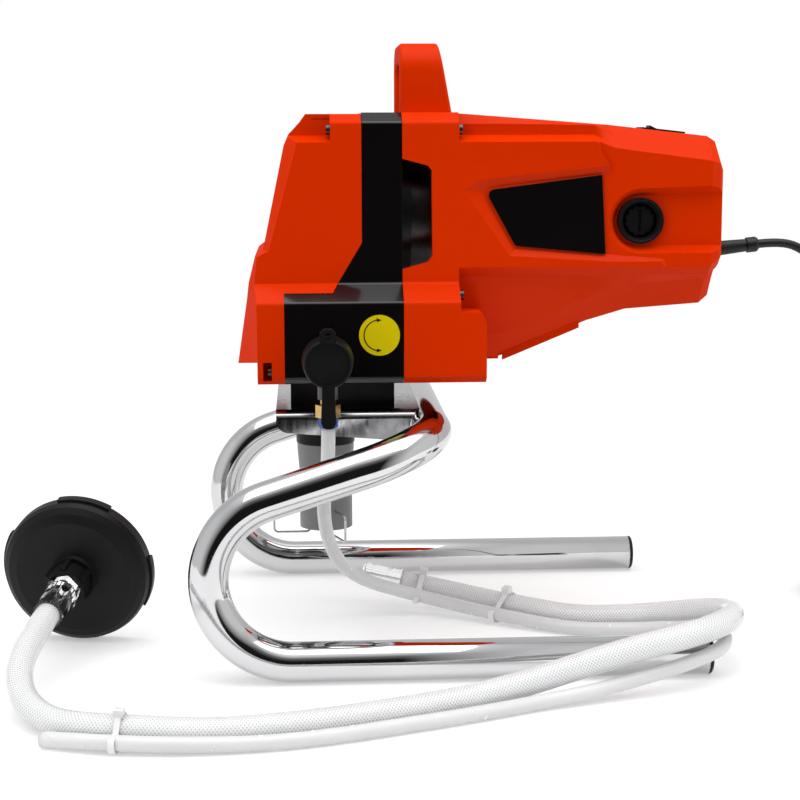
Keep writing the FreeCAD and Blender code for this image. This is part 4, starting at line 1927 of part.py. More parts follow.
os.makedirs("parts", exist_ok=True)
for thing in nodes:
    path = "parts/" + thing.Label + ".step"
    thing.Shape.exportStep(path)
    print(thing.Label, len(thing.Shape.Solids), "%.0f" % thing.Shape.Volume)
print(len(nodes), "pieces")
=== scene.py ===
import json
import math

import bmesh
import bpy
from mathutils import Matrix, Vector

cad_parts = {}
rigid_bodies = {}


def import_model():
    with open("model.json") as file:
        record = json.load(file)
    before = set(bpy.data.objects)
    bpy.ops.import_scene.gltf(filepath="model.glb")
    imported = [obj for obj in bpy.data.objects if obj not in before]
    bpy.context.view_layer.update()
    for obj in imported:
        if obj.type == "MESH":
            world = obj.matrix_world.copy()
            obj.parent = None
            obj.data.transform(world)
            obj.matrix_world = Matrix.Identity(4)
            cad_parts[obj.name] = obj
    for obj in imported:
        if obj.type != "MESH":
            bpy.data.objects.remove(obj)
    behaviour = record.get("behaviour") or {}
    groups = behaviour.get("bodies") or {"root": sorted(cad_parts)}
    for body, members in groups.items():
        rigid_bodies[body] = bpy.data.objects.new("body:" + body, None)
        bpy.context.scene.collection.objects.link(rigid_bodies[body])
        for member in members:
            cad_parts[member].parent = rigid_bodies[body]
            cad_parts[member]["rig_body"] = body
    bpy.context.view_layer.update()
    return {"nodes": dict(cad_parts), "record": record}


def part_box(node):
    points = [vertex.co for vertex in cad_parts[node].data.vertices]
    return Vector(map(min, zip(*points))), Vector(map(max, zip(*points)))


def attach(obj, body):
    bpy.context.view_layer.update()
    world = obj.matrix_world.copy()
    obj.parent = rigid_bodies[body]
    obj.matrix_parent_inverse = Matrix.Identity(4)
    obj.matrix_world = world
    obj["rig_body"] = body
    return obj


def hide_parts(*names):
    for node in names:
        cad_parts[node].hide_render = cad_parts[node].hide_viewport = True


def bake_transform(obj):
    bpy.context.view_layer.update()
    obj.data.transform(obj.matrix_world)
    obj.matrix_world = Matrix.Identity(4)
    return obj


# Airless paint sprayer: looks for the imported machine, in metres, in the frame of the model.
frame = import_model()
nodes = frame["nodes"]
print("frame loaded,", len(nodes), "pieces")


def addObject(name, data):
    thing = bpy.data.objects.new(name, data)
    bpy.context.scene.collection.objects.link(thing)
    return thing


# Camera, at the height and angle of the photograph
viewSetup = {
    "place": (-0.0994, -1.140, 0.334),
    "lensMm": 76.05,
    "sensorMm": 36.0,
    "turnRight": 3.24,
    "lookDown": 8.91,
    "roll": -0.18,
    "seenFrom": 0.01,
    "seenTo": 30,
}


def makeCamera(setup):
    data = bpy.data.cameras.new("viewCamera")
    data.lens = setup["lensMm"]
    data.sensor_width = setup["sensorMm"]
    data.clip_start = setup["seenFrom"]
    data.clip_end = setup["seenTo"]
    camera = addObject("viewCamera", data)
    turn = Matrix.Rotation(math.radians(-setup["turnRight"]), 4, "Z")
    tilt = Matrix.Rotation(math.radians(90 - setup["lookDown"]), 4, "X")
    roll = Matrix.Rotation(math.radians(setup["roll"]), 4, "Z")
    camera.matrix_world = Matrix.Translation(setup["place"]) @ turn @ tilt @ roll
    bpy.context.scene.camera = camera


makeCamera(viewSetup)
print("camera set")


# Shader building blocks
mixSockets = {"first": 6, "second": 7, "result": 2}
cloudDetail = {"colour": 3, "gloss": 4, "grain": 2, "marks": 5}


def startFinish(name):
    material = bpy.data.materials.new(name)
    material.use_nodes = True
    tree = material.node_tree
    return material, tree, tree.nodes["Principled BSDF"]


def cloud(tree, scale, detail, stretch=(1, 1, 1)):
    # soft random value over the piece, scale in cells per metre
    where = tree.nodes.new("ShaderNodeTexCoord")
    sized = tree.nodes.new("ShaderNodeMapping")
    sized.inputs["Scale"].default_value = stretch
    noise = tree.nodes.new("ShaderNodeTexNoise")
    noise.inputs["Scale"].default_value = scale
    noise.inputs["Detail"].default_value = detail
    tree.links.new(where.outputs["Object"], sized.inputs["Vector"])
    tree.links.new(sized.outputs["Vector"], noise.inputs["Vector"])
    return noise.outputs["Fac"]


def fitRange(tree, value, low, high, fromLow=0.3, fromHigh=0.7):
    # most of a cloud's values lie between 0.3 and 0.7
    ranged = tree.nodes.new("ShaderNodeMapRange")
    ranged.inputs["From Min"].default_value = fromLow
    ranged.inputs["From Max"].default_value = fromHigh
    ranged.inputs["To Min"].default_value = low
    ranged.inputs["To Max"].default_value = high
    tree.links.new(value, ranged.inputs["Value"])
    return ranged.outputs["Result"]


def blendColour(tree, value, first, second):
    mixed = tree.nodes.new("ShaderNodeMix")
    mixed.data_type = "RGBA"
    tree.links.new(value, mixed.inputs["Factor"])
    for place, colour in (("first", first), ("second", second)):
        socket = mixed.inputs[mixSockets[place]]
        if isinstance(colour, tuple):
            socket.default_value = (*colour, 1)
        else:
            tree.links.new(colour, socket)
    return mixed.outputs[mixSockets["result"]]


def addBump(tree, shader, value, height):
    bump = tree.nodes.new("ShaderNodeBump")
    bump.inputs["Strength"].default_value = 1.0
    bump.inputs["Distance"].default_value = height
    tree.links.new(value, bump.inputs["Height"])
    for socket in ("Normal", "Coat Normal"):
        tree.links.new(bump.outputs["Normal"], shader.inputs[socket])


def cloudyColour(tree, shader, look):
    wide = cloud(tree, look["cloudScale"], cloudDetail["colour"])
    colour = blendColour(tree, fitRange(tree, wide, 0, 1), look["colour"], look["shade"])
    tree.links.new(colour, shader.inputs["Base Color"])


def cloudyGloss(tree, shader, look, finer):
    # gloss in clouds finer than those of the colour, over a fine grain
    gloss = cloud(tree, look["cloudScale"] * finer, cloudDetail["gloss"])
    tree.links.new(fitRange(tree, gloss, *look["roughness"]), shader.inputs["Roughness"])
    grain = cloud(tree, look["grainScale"], cloudDetail["grain"])
    addBump(tree, shader, grain, look["grainHeight"])


def mouldedFinish(name, look):
    # moulded plastic
    material, tree, shader = startFinish(name)
    cloudyColour(tree, shader, look)
    cloudyGloss(tree, shader, look, finer=4)
    shader.inputs["Specular IOR Level"].default_value = look.get("shine", 0.5)
    shader.inputs["Coat Weight"].default_value = look.get("coat", 0.0)
    shader.inputs["Coat Roughness"].default_value = look.get("coatRoughness", 0.1)
    return material


def clearFinish(name, look):
    # see-through plastic with a milky share
    material, tree, shader = startFinish(name)
    cloudyColour(tree, shader, look)
    cloudyGloss(tree, shader, look, finer=5)
    shader.inputs["Transmission Weight"].default_value = look["clear"]
    shader.inputs["IOR"].default_value = look["ior"]
    return material


def metalFinish(name, look):
    # metal with drawn or cast marks that follow its stretch
    material, tree, shader = startFinish(name)
    shader.inputs["Metallic"].default_value = 1.0
    cloudyColour(tree, shader, look)
    marks = cloud(tree, look["markScale"], cloudDetail["marks"], look["markStretch"])
    tree.links.new(fitRange(tree, marks, *look["roughness"]), shader.inputs["Roughness"])
    addBump(tree, shader, marks, look["markHeight"])
    return material


finishes = {
    "chrome": metalFinish("polishedChrome", {
        "colour": (0.66, 0.66, 0.67), "shade": (0.60, 0.605, 0.615), "cloudScale": 14,
        "markScale": 45, "markStretch": (0.3, 1, 1), "roughness": (0.04, 0.085), "markHeight": 0.000004}),
    "plate_metal": metalFinish("brushedPlate", {
        "colour": (0.60, 0.60, 0.61), "shade": (0.44, 0.44, 0.45), "cloudScale": 18,
        "markScale": 260, "markStretch": (1, 1, 0.05), "roughness": (0.10, 0.24), "markHeight": 0.0000016}),
    "orange_plastic": mouldedFinish("orangeHousing", {
        "colour": (0.600, 0.0260, 0.0002), "shade": (0.572, 0.0240, 0.0002), "cloudScale": 5,
        "roughness": (0.26, 0.31), "shine": 0.0, "coat": 0.10, "coatRoughness": 0.24,
        "grainScale": 2600, "grainHeight": 0.000010}),
    "black_gloss": mouldedFinish("blackHousing", {
        "colour": (0.0028, 0.0022, 0.0022), "shade": (0.0036, 0.003, 0.003), "cloudScale": 8,
        "roughness": (0.10, 0.16), "shine": 0.34, "coat": 0.12, "coatRoughness": 0.04,
        "grainScale": 2600, "grainHeight": 0.000006}),
    "black_plastic": mouldedFinish("blackFittings", {
        "colour": (0.0042, 0.0042, 0.0044), "shade": (0.0060, 0.0060, 0.0060), "cloudScale": 25,
        "roughness": (0.38, 0.5), "shine": 0.17, "grainScale": 1800, "grainHeight": 0.00003}),
    "board_plastic": mouldedFinish("boardGreen", {
        "colour": (0.02, 0.11, 0.05), "shade": (0.015, 0.09, 0.04), "cloudScale": 40,
        "roughness": (0.3, 0.4), "grainScale": 900, "grainHeight": 0.00002}),
    "white_plastic": mouldedFinish("whiteNylon", {
        "colour": (0.82, 0.82, 0.82), "shade": (0.77, 0.77, 0.77), "cloudScale": 60,
        "roughness": (0.3, 0.42), "grainScale": 2500, "grainHeight": 0.00001}),
    "grey_plastic": mouldedFinish("greyInlet", {
        "colour": (0.170, 0.170, 0.172), "shade": (0.150, 0.150, 0.152), "cloudScale": 30,
        "roughness": (0.36, 0.46), "shine": 0.4, "grainScale": 1500, "grainHeight": 0.00002}),
    "tie_nylon": mouldedFinish("tieNylon", {
        "colour": (0.72, 0.72, 0.725), "shade": (0.68, 0.68, 0.685), "cloudScale": 60,
        "roughness": (0.34, 0.46), "grainScale": 2500, "grainHeight": 0.00001}),
    "blue_plastic": mouldedFinish("blueCollar", {
        "colour": (0.018, 0.075, 0.30), "shade": (0.014, 0.06, 0.25), "cloudScale": 60,
        "roughness": (0.22, 0.34), "grainScale": 2500, "grainHeight": 0.00001}),
    "yellow_label": mouldedFinish("yellowLabel", {
        "colour": (0.60, 0.475, 0.0008), "shade": (0.57, 0.45, 0.0006), "cloudScale": 40,
        "roughness": (0.36, 0.46), "shine": 0.15, "grainScale": 1200, "grainHeight": 0.000006}),
    "black_rubber": mouldedFinish("blackRubber", {
        "colour": (0.005, 0.0045, 0.0045), "shade": (0.0075, 0.007, 0.007), "cloudScale": 30,
        "roughness": (0.42, 0.58), "shine": 0.4, "grainScale": 1600, "grainHeight": 0.00003}),
    "steel": metalFinish("brightSteel", {
        "colour": (0.62, 0.62, 0.62), "shade": (0.5, 0.5, 0.51), "cloudScale": 60,
        "markScale": 500, "markStretch": (1, 1, 0.2), "roughness": (0.16, 0.3), "markHeight": 0.000008}),
    "dark_steel": metalFinish("darkSteel", {
        "colour": (0.10, 0.10, 0.105), "shade": (0.07, 0.07, 0.075), "cloudScale": 60,
        "markScale": 400, "markStretch": (1, 1, 0.3), "roughness": (0.28, 0.42), "markHeight": 0.00001}),
    "cast_metal": metalFinish("castMetal", {
        "colour": (0.055, 0.055, 0.058), "shade": (0.035, 0.035, 0.037), "cloudScale": 40,
        "markScale": 700, "markStretch": (1, 1, 1), "roughness": (0.36, 0.5), "markHeight": 0.00004}),
    "brass": metalFinish("turnedBrass", {
        "colour": (0.64, 0.42, 0.15), "shade": (0.57, 0.36, 0.12), "cloudScale": 80,
        "markScale": 500, "markStretch": (0.2, 0.2, 1), "roughness": (0.14, 0.24), "markHeight": 0.000002}),
    "clear_plastic": clearFinish("clearPlastic", {
        "colour": (0.95, 0.955, 0.96), "shade": (0.91, 0.915, 0.92), "cloudScale": 30, "clear": 0.80,
        "ior": 1.32, "roughness": (0.12, 0.16), "grainScale": 40, "grainHeight": 0.000001}),
    "clear_fitting": clearFinish("clearFitting", {
        "colour": (0.97, 0.975, 0.98), "shade": (0.94, 0.945, 0.95), "cloudScale": 40, "clear": 1.0,
        "ior": 1.45, "roughness": (0.02, 0.05), "grainScale": 60, "grainHeight": 0.000001}),
    "milky_plastic": clearFinish("milkyPlastic", {
        "colour": (0.80, 0.80, 0.81), "shade": (0.76, 0.76, 0.77), "cloudScale": 20, "clear": 0.30,
        "ior": 1.40, "roughness": (0.20, 0.28), "grainScale": 40, "grainHeight": 0.000001}),
}


def braidFinish(name, look):
    # crossing threads wound into the wall, drawn along the hose by its own unwrap
    material, tree, shader = startFinish(name)
    where = tree.nodes.new("ShaderNodeUVMap")
    where.uv_map = "along"
    split = tree.nodes.new("ShaderNodeSeparateXYZ")
    tree.links.new(where.outputs["UV"], split.inputs["Vector"])

    def compute(kind, first, second=0):
        step = tree.nodes.new("ShaderNodeMath")
        step.operation = kind
        for socket, value in zip(step.inputs, (first, second)):
            if isinstance(value, (int, float)):
                socket.default_value = value
            else:
                tree.links.new(value, socket)
        return step.outputs[0]

    around = compute("MULTIPLY", split.outputs["X"], look["threads"])
    along = compute("MULTIPLY", split.outputs["Y"], look["threads"] / look["pitch"])
    halfway = 0.5
    lines = []
    for sign in ("ADD", "SUBTRACT"):
        phase = compute("FRACT", compute(sign, around, along))
        offset = compute("ABSOLUTE", compute("SUBTRACT", phase, halfway))
        lines.append(compute("GREATER_THAN", offset, halfway - look["share"] / 2))
    thread = compute("MAXIMUM", *lines)
    colour = blendColour(tree, thread, look["between"], look["colour"])
    tree.links.new(colour, shader.inputs["Base Color"])
    shader.inputs["Roughness"].default_value = look["roughness"]
    addBump(tree, shader, thread, look["relief"])
    tree.links.new(compute("MAXIMUM", thread, look["film"]), shader.inputs["Alpha"])
    return material


finishes["braid"] = braidFinish("hoseBraid", {
    "colour": (0.94, 0.94, 0.945), "between": (0.83, 0.833, 0.84), "threads": 16, "pitch": 0.034,
    "share": 0.46, "film": 0.6, "roughness": 0.45, "relief": 0.00012})
print("finishes ready,", len(finishes))


# Cords and hoses, each on its own smooth line through the points of its route
def routeCurve(name, points, steps):
    curve = bpy.data.curves.new(name, "CURVE")
    curve.dimensions = "3D"
    spline = curve.splines.new("NURBS")
    spline.points.add(len(points) - 1)
    for point, place in zip(spline.points, points):
        point.co = (*place, 1)
    spline.order_u = 3
    spline.use_endpoint_u = True
    spline.resolution_u = steps
    return curve


def smoothLine(points, steps):
    # the places that the route's curve runs through
    holder = addObject("routeCurve", routeCurve("routeCurve", points, steps))
    bpy.context.view_layer.update()
    drawn = holder.evaluated_get(bpy.context.evaluated_depsgraph_get())
    shape = bpy.data.meshes.new_from_object(drawn)
    line = [vertex.co.copy() for vertex in shape.vertices]
    bpy.data.meshes.remove(shape)
    bpy.data.objects.remove(holder)
    return line


def lineLength(line):
    return sum((second - first).length for first, second in zip(line, line[1:]))


def cordCurve(name, points, look, material):
    curve = routeCurve(name, points, look["steps"])
    curve.bevel_depth = look["radius"]
    curve.bevel_resolution = look["roundness"]
    curve.use_fill_caps = True
    curve.materials.append(material)
    return addObject(name, curve)


def ringFrames(line):
    # directions across the line, carried along without twist
    frames = []
    tooShort = 1e-5
    across = Vector((0, 0, 1))
    for index, point in enumerate(line):
        ahead = line[min(index + 1, len(line) - 1)] - line[max(index - 1, 0)]
        ahead.normalize()
        across = across - ahead * across.dot(ahead)
        if across.length < tooShort:
            across = ahead.orthogonal()
        across.normalize()
        frames.append((point, across.copy(), ahead.cross(across)))
    return frames


def meshOf(build, name, material):
    # the built faces as a mesh, all facing out
    bmesh.ops.recalc_face_normals(build, faces=build.faces)
    mesh = bpy.data.meshes.new(name)
    build.to_mesh(mesh)
    build.free()
    mesh.materials.append(material)
    return mesh


def tubeMesh(name, line, rings, sides, material):
    # a tube along the line: rings lists its radii from outside in, one for a bare skin
    build = bmesh.new()
    unwrap = build.loops.layers.uv.new("along")
    reached = [lineLength(line[:count + 1]) for count in range(len(line))]
    turns = [2 * math.pi * number / sides for number in range(sides)]
    skins = [[[build.verts.new(point + (across * math.cos(turn) + side * math.sin(turn)) * radius)
               for turn in turns] for point, across, side in ringFrames(line)] for radius in rings]
    for skin in skins:
        for index, (ring, following) in enumerate(zip(skin, skin[1:])):
            for number in range(sides):
                after = (number + 1) % sides
                corners = [(ring[number], number, index), (ring[after], number + 1, index),
                           (following[after], number + 1, index + 1),
                           (following[number], number, index + 1)]
                if skin is skins[0]:
                    corners.reverse()
                face = build.faces.new([vertex for vertex, around, along in corners])
                face.smooth = True
                for loop, (vertex, around, along) in zip(face.loops, corners):
                    loop[unwrap].uv = (around / sides, reached[along])
    if len(skins) == 2:
        outer, inner = skins
        for end in (0, -1):
            for number in range(sides):
                after = (number + 1) % sides
                corners = [outer[end][number], outer[end][after], inner[end][after], inner[end][number]]
                build.faces.new(corners if end == 0 else corners[::-1])
    return addObject(name, meshOf(build, name, material))


hoseLook = {
    "radius": 0.008,
    "bore": 0.0056,
    "braidRadius": 0.0068,
    "steps": 12,
    "sides": 28,
    "route": [
        (-0.033, 0.031, 0.019), (-0.005, 0.026, 0.0135), (0.025, 0.009, 0.0103), (0.055, -0.016, 0.010),
        (0.085, -0.032, 0.0083), (0.1208, -0.0367, 0.010), (0.1471, -0.0504, 0.016), (0.1652, -0.074, 0.0245),
        (0.1716, -0.103, 0.0315), (0.1652, -0.132, 0.0355), (0.1471, -0.1556, 0.0365),
        (0.1208, -0.1693, 0.034), (0.092, -0.174, 0.029), (0.060, -0.177, 0.0205), (0.026, -0.184, 0.0125),
        (-0.010, -0.197, 0.0083), (-0.047, -0.213, 0.0083), (-0.090, -0.229, 0.0083),
        (-0.128, -0.238, 0.0083), (-0.158, -0.241, 0.0083), (-0.187, -0.2402, 0.010),
        (-0.220, -0.2335, 0.010), (-0.242, -0.2215, 0.0087), (-0.258, -0.204, 0.0111),
        (-0.2675, -0.184, 0.0165), (-0.271, -0.160, 0.0245),
    ],
    "strainer": (-0.252, -0.042, 0.0492),
    "strainerYaw": 10.0,
    "strainerTilt": 11.0,
    "tailEnds": (0.086, 0.062),
    "fittings": ("suction_connector", "hose_tail", "strainer_nut", "strainer_cover", "strainer_screen"),
}


def strainerWay(look):
    yaw = math.radians(look["strainerYaw"])
    tilt = math.radians(look["strainerTilt"])
    return Vector((-math.sin(yaw) * math.cos(tilt), -math.cos(yaw) * math.cos(tilt), -math.sin(tilt)))


def makeHose(look):
    way = strainerWay(look)
    ends = [tuple(Vector(look["strainer"]) + way * reach) for reach in look["tailEnds"]]
    line = smoothLine(look["route"] + ends, look["steps"])
    wall = tubeMesh("suctionHoseWall", line, (look["radius"], look["bore"]), look["sides"],
                    finishes["clear_plastic"])
    braid = tubeMesh("suctionHoseBraid", line, (look["braidRadius"],), look["sides"], finishes["braid"])
    for piece in (wall, braid):
        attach(piece, "frame")
    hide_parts("suction_hose")
    return line


# Cable ties, their tails cut off close above the head
tieLook = {
    "farFromHose": 0.015,
    "cutBy": 0.0068,
}


def makeTies(look, line):
    mesh = nodes["cable_ties"].data.copy()
    for vertex in mesh.vertices:
        nearest = min(line, key=lambda place: (place - vertex.co).length_squared)
        away = vertex.co - nearest
        if away.length > look["farFromHose"] and away.z > 0:
            vertex.co -= away.normalized() * look["cutBy"]
    mesh.materials.clear()
    mesh.materials.append(finishes["tie_nylon"])
    ties = addObject("cableTiesTrimmed", mesh)
    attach(ties, "frame")
    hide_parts("cable_ties")
    return ties


tubeLook = {
    "radius": 0.0045,
    "bore": 0.0032,
    "steps": 12,
    "sides": 24,
    "route": [
        (-0.0852, -0.082, 0.151), (-0.0852, -0.082, 0.128), (-0.0885, -0.076, 0.104), (-0.088, -0.062, 0.084),
        (-0.084, -0.045, 0.064), (-0.076, -0.027, 0.046), (-0.061, -0.009, 0.031), (-0.038, 0.005, 0.020),
        (-0.013, 0.009, 0.012), (0.017, -0.007, 0.0081), (0.048, -0.029, 0.0065), (0.079, -0.046, 0.0048),
        (0.112, -0.052, 0.0055), (0.139, -0.062, 0.009), (0.157, -0.081, 0.0145), (0.164, -0.105, 0.019),
        (0.163, -0.129, 0.0213), (0.153, -0.150, 0.0205), (0.132, -0.164, 0.0175), (0.103, -0.174, 0.0125),
        (0.070, -0.184, 0.0075), (0.036, -0.1935, 0.0048), (-0.0044, -0.212, 0.0048),
        (-0.042, -0.2263, 0.0048), (-0.086, -0.2428, 0.0048), (-0.128, -0.2523, 0.0048),
        (-0.180, -0.2546, 0.0065), (-0.224, -0.2464, 0.0065), (-0.247, -0.2365, 0.0048),
    ],
}


def makeReturnTube(look, ties):
    line = smoothLine(look["route"], look["steps"])
    tube = tubeMesh("returnTubeWall", line, (look["radius"], look["bore"]), look["sides"],
                    finishes["milky_plastic"])
    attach(tube, "frame")
    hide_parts("return_tube")
    return line


# The drop is counted from the relief's tip, the landing from where the cord meets the coil,
# and the lead to the plug from the coil's end
cordLook = {
    "radius": 0.003,
    "steps": 6,
    "roundness": 5,
    "tail": (0.1725, 0.0, 0.256),
    "reliefLong": 0.0375,
    "reliefTilt": 6.0,
    "drop": [(0, 0, 0), (0.0165, 0, 0.00175), (0.0319, 0, -0.00385), (0.043, -0.001, -0.0152),
             (0.0504, -0.0025, -0.0316), (0.053, -0.005, -0.0544)],
    "landing": [(-0.006, -0.046, 0.1678), (-0.003, -0.053, 0.1178), (-0.001, -0.058, 0.070),
                (0, -0.055, 0.038), (0, -0.042, 0.013), (0, -0.018, 0), (0, 0, 0)],
    "coilMiddle": (0.307, 0.044, 0.0032),
    "coilRadius": 0.0303,
    "coilPitch": 0.0067,
    "coilClimbs": 3,
    "pointsPerHalf": 8,
    "plugLead": [(0, 0, 0), (0, -0.006, 0), (0, -0.019, 0), (0.0026, -0.034, -0.0029),
                 (0.004, -0.048, -0.005), (0.004, -0.061, -0.005)],
}


def coilPoints(look):
    # half a turn round the middle, then half a turn shifted to the next ring, layer on layer
    middle = Vector(look["coilMiddle"])
    pitch = look["coilPitch"]
    radii = [look["coilRadius"] + pitch, look["coilRadius"], look["coilRadius"] - pitch]
    steps = [(radii[0], radii[1], 0), (radii[1], radii[2], 0)]
    for layer in range(look["coilClimbs"]):
        radii.reverse()
        steps += [(radii[0], radii[1], 1), (radii[1], radii[2], 0)]
    steps.append((radii[2], None, 0))
    count = look["pointsPerHalf"]
    # the smooth line runs inside its points, so they lie a little further out
    swell = 4 / (3 + math.cos(math.pi / count))
    height = middle.z
    points = []
    for radius, following, climbs in steps:
        for number in range(count):
            turn = math.pi - math.pi * (number + 0.5) / count
            lift = pitch * climbs * (number + 0.5) / count
            points.append((middle.x + radius * swell * math.cos(turn),
                           middle.y + radius * swell * math.sin(turn), height + lift))
        height += pitch * climbs
        if following is None:
            return points, (middle.x + radius, middle.y, height)
        mean = (radius + following) / 2
        shift = middle.x + (radius - following) / 2
        for number in range(count):
            turn = -math.pi * (number + 0.5) / count
            points.append((shift + mean * swell * math.cos(turn),
                           middle.y + mean * swell * math.sin(turn), height))


def placesFrom(start, offsets):
    return [tuple(Vector(start) + Vector(offset)) for offset in offsets]


def makePowerCord(look):
    tilt = math.radians(look["reliefTilt"])
    tip = Vector(look["tail"]) + Vector((math.cos(tilt), 0, math.sin(tilt))) * look["reliefLong"]
    outerRing = look["coilRadius"] + look["coilPitch"]
    touch = Vector(look["coilMiddle"]) - Vector((outerRing, 2 * look["radius"], 0))
    turns, end = coilPoints(look)
    route = placesFrom(tip, look["drop"]) + placesFrom(touch, look["landing"])
    route += turns + placesFrom(end, look["plugLead"])
    cord = cordCurve("powerCord", route, look, finishes["black_rubber"])
    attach(cord, "frame")
    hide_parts("power_cord", "power_cord_coil", "plug_lead")
    lineLength(smoothLine(route, look["steps"]))


hoseLine = makeHose(hoseLook)
returnLine = makeReturnTube(tubeLook, makeTies(tieLook, hoseLine))
makePowerCord(cordLook)
print("cords laid, hose %.0f mm, tube %.0f mm" % tuple(
    lineLength(line) * 1000 for line in (hoseLine, returnLine)))


# Finishes on the pieces that keep their modelled shape, some with one of their own
ownFinish = {
    "stand_plate": "plate_metal",
    "hose_tail": "clear_fitting",
    "suction_connector": "clear_fitting",
}


def dressNodes():
    for entry in frame["record"]["subparts"]:
        piece = nodes[entry["node"]]
        if not piece.hide_render:
            piece.data.materials.clear()
            piece.data.materials.append(finishes[ownFinish.get(entry["node"], entry["material_slot"])])


dressNodes()
print("finishes laid on")


# Stand tube drawn anew along its bends, so that the chrome mirrors evenly
standLook = {
    "radius": 0.0125,
    "bore": 0.0107,
    "halfGap": 0.131,
    "frontBend": 0.052,
    "cornerBend": 0.050,
    "legSlope": 18.0,
    "bendX": -0.108,
    "crossX": -0.019,
    "skidEndX": 0.1495,
    "stepDegrees": 3.0,
    "leadIn": 0.0012,
    "sides": 64,
}


def bend(middle, outward, ahead, radius, sweep, look):
    # one bend of the tube, with a short straight step before and after it
    count = round(sweep / look["stepDegrees"])
    turn = math.radians(sweep)
    last = outward * math.cos(turn) + ahead * math.sin(turn)
    leaving = ahead * math.cos(turn) - outward * math.sin(turn)
    places = [middle + outward * radius - ahead * look["leadIn"]]
    for number in range(count + 1):
        part = turn * number / count
        places.append(middle + (outward * math.cos(part) + ahead * math.sin(part)) * radius)
    places.append(middle + last * radius + leaving * look["leadIn"])
    return places


def standSide(look, side):
    slope = math.radians(look["legSlope"])
    middle = Vector((look["bendX"], side * look["halfGap"], look["radius"] + look["frontBend"]))
    up = Vector((math.cos(slope), 0, math.sin(slope)))
    across = Vector((0, -side, 0))
    places = [Vector((look["skidEndX"], middle.y, look["radius"]))]
    places += bend(middle, Vector((0, 0, -1)), Vector((-1, 0, 0)), look["frontBend"],
                   180 - look["legSlope"], look)
    top = middle + Vector((-math.sin(slope), 0, math.cos(slope))) * look["frontBend"]
    tip = top + up * ((look["crossX"] - top.x) / math.cos(slope))
    hub = tip - up * look["cornerBend"] + across * look["cornerBend"]
    places += bend(hub, -across, up, look["cornerBend"], 90, look)
    return places


def makeStandTube(look):
    line = standSide(look, -1) + standSide(look, 1)[::-1]
    tube = tubeMesh("standTubeChrome", line, (look["radius"], look["bore"]), look["sides"],
                    finishes["chrome"])
    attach(tube, "frame")
    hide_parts("stand_tube")


makeStandTube(standLook)
print("stand drawn")


# Pieces with their moulded edges rounded, each by its own width
edgeLook = {
    "rear_housing": 0.0014,
    "front_cover": 0.0010,
    "gear_housing": 0.0005,
    "prime_knob": 0.0007,
    "pump_block": 0.0005,
    "dial_cup": 0.0003,
    "switch_rocker": 0.0004,
    "side_panels": 0.0003,
}
roundingLook = {
    "weld": 0.000002,
    "flatBelow": 0.6,
    "sharpAbove": 22,
    "segments": 3,
    "profile": 0.5,
}
# The gear housing's front edge reaches the cover, so that no light shows through the seam
seamLook = {"piece": "gear_housing", "beyond": -0.1115, "reach": 0.00026}


def softenEdges(name, width, look):
    mesh = nodes[name].data.copy()
    build = bmesh.new()
    build.from_mesh(mesh)
    bmesh.ops.remove_doubles(build, verts=build.verts, dist=look["weld"])
    if name == seamLook["piece"]:
        for vertex in build.verts:
            if vertex.co.x < seamLook["beyond"]:
                vertex.co.x -= seamLook["reach"]
    bmesh.ops.dissolve_limit(build, angle_limit=math.radians(look["flatBelow"]), verts=build.verts,
                             edges=build.edges)
    limit = math.radians(look["sharpAbove"])
    sharp = [edge for edge in build.edges if edge.is_manifold and edge.calc_face_angle(0) > limit]
    bmesh.ops.bevel(build, geom=sharp, offset=width, offset_type="OFFSET", segments=look["segments"],
                    profile=look["profile"], affect="EDGES", clamp_overlap=True)
    for face in build.faces:
        face.smooth = True
    build.to_mesh(mesh)
    build.free()
    oldNormals = mesh.attributes.get("custom_normal")
    if oldNormals:
        mesh.attributes.remove(oldNormals)
    piece = addObject(name + "_soft", mesh)
    evened = piece.modifiers.new("evenNormals", "WEIGHTED_NORMAL")
    evened.keep_sharp = True
    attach(piece, nodes[name]["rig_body"])
    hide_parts(name)


for name, width in edgeLook.items():
    softenEdges(name, width, roundingLook)
print("housings softened")


# Valve springs, each copied from its modelled shape; the ends at the ball and at the seat are worked out but
# not used
springLook = {
    "inlet_spring": {"valve": "inlet_valve", "axis": 2},
    "outlet_spring": {"valve": "outlet_valve", "axis": 1},
}


def makeSpring(name, look):
    spring = addObject(name + "Pressed", nodes[name].data.copy())
    low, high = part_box(name)
    ballEnd = [(first + second) / 2 for first, second in zip(low, high)]
    seatEnd = list(ballEnd)
    ballEnd[look["axis"]] = low[look["axis"]]
    seatEnd[look["axis"]] = high[look["axis"]]
    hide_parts(name)
    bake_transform(spring)


for name, look in springLook.items():
    makeSpring(name, look)
print("springs ready")


# Round label with a plain turning arrow
labelLook = {
    "middle": (-0.052, 0.2085),
    "face": -0.07543,
    "arrowRadius": 0.0098,
    "arrowWide": 0.0007,
    "arrowThick": 0.00006,
    "arrowTurn": (-80, 80),
    "arrowSteps": 40,
    "headLong": 0.0032,
    "headWide": 0.0026,
}


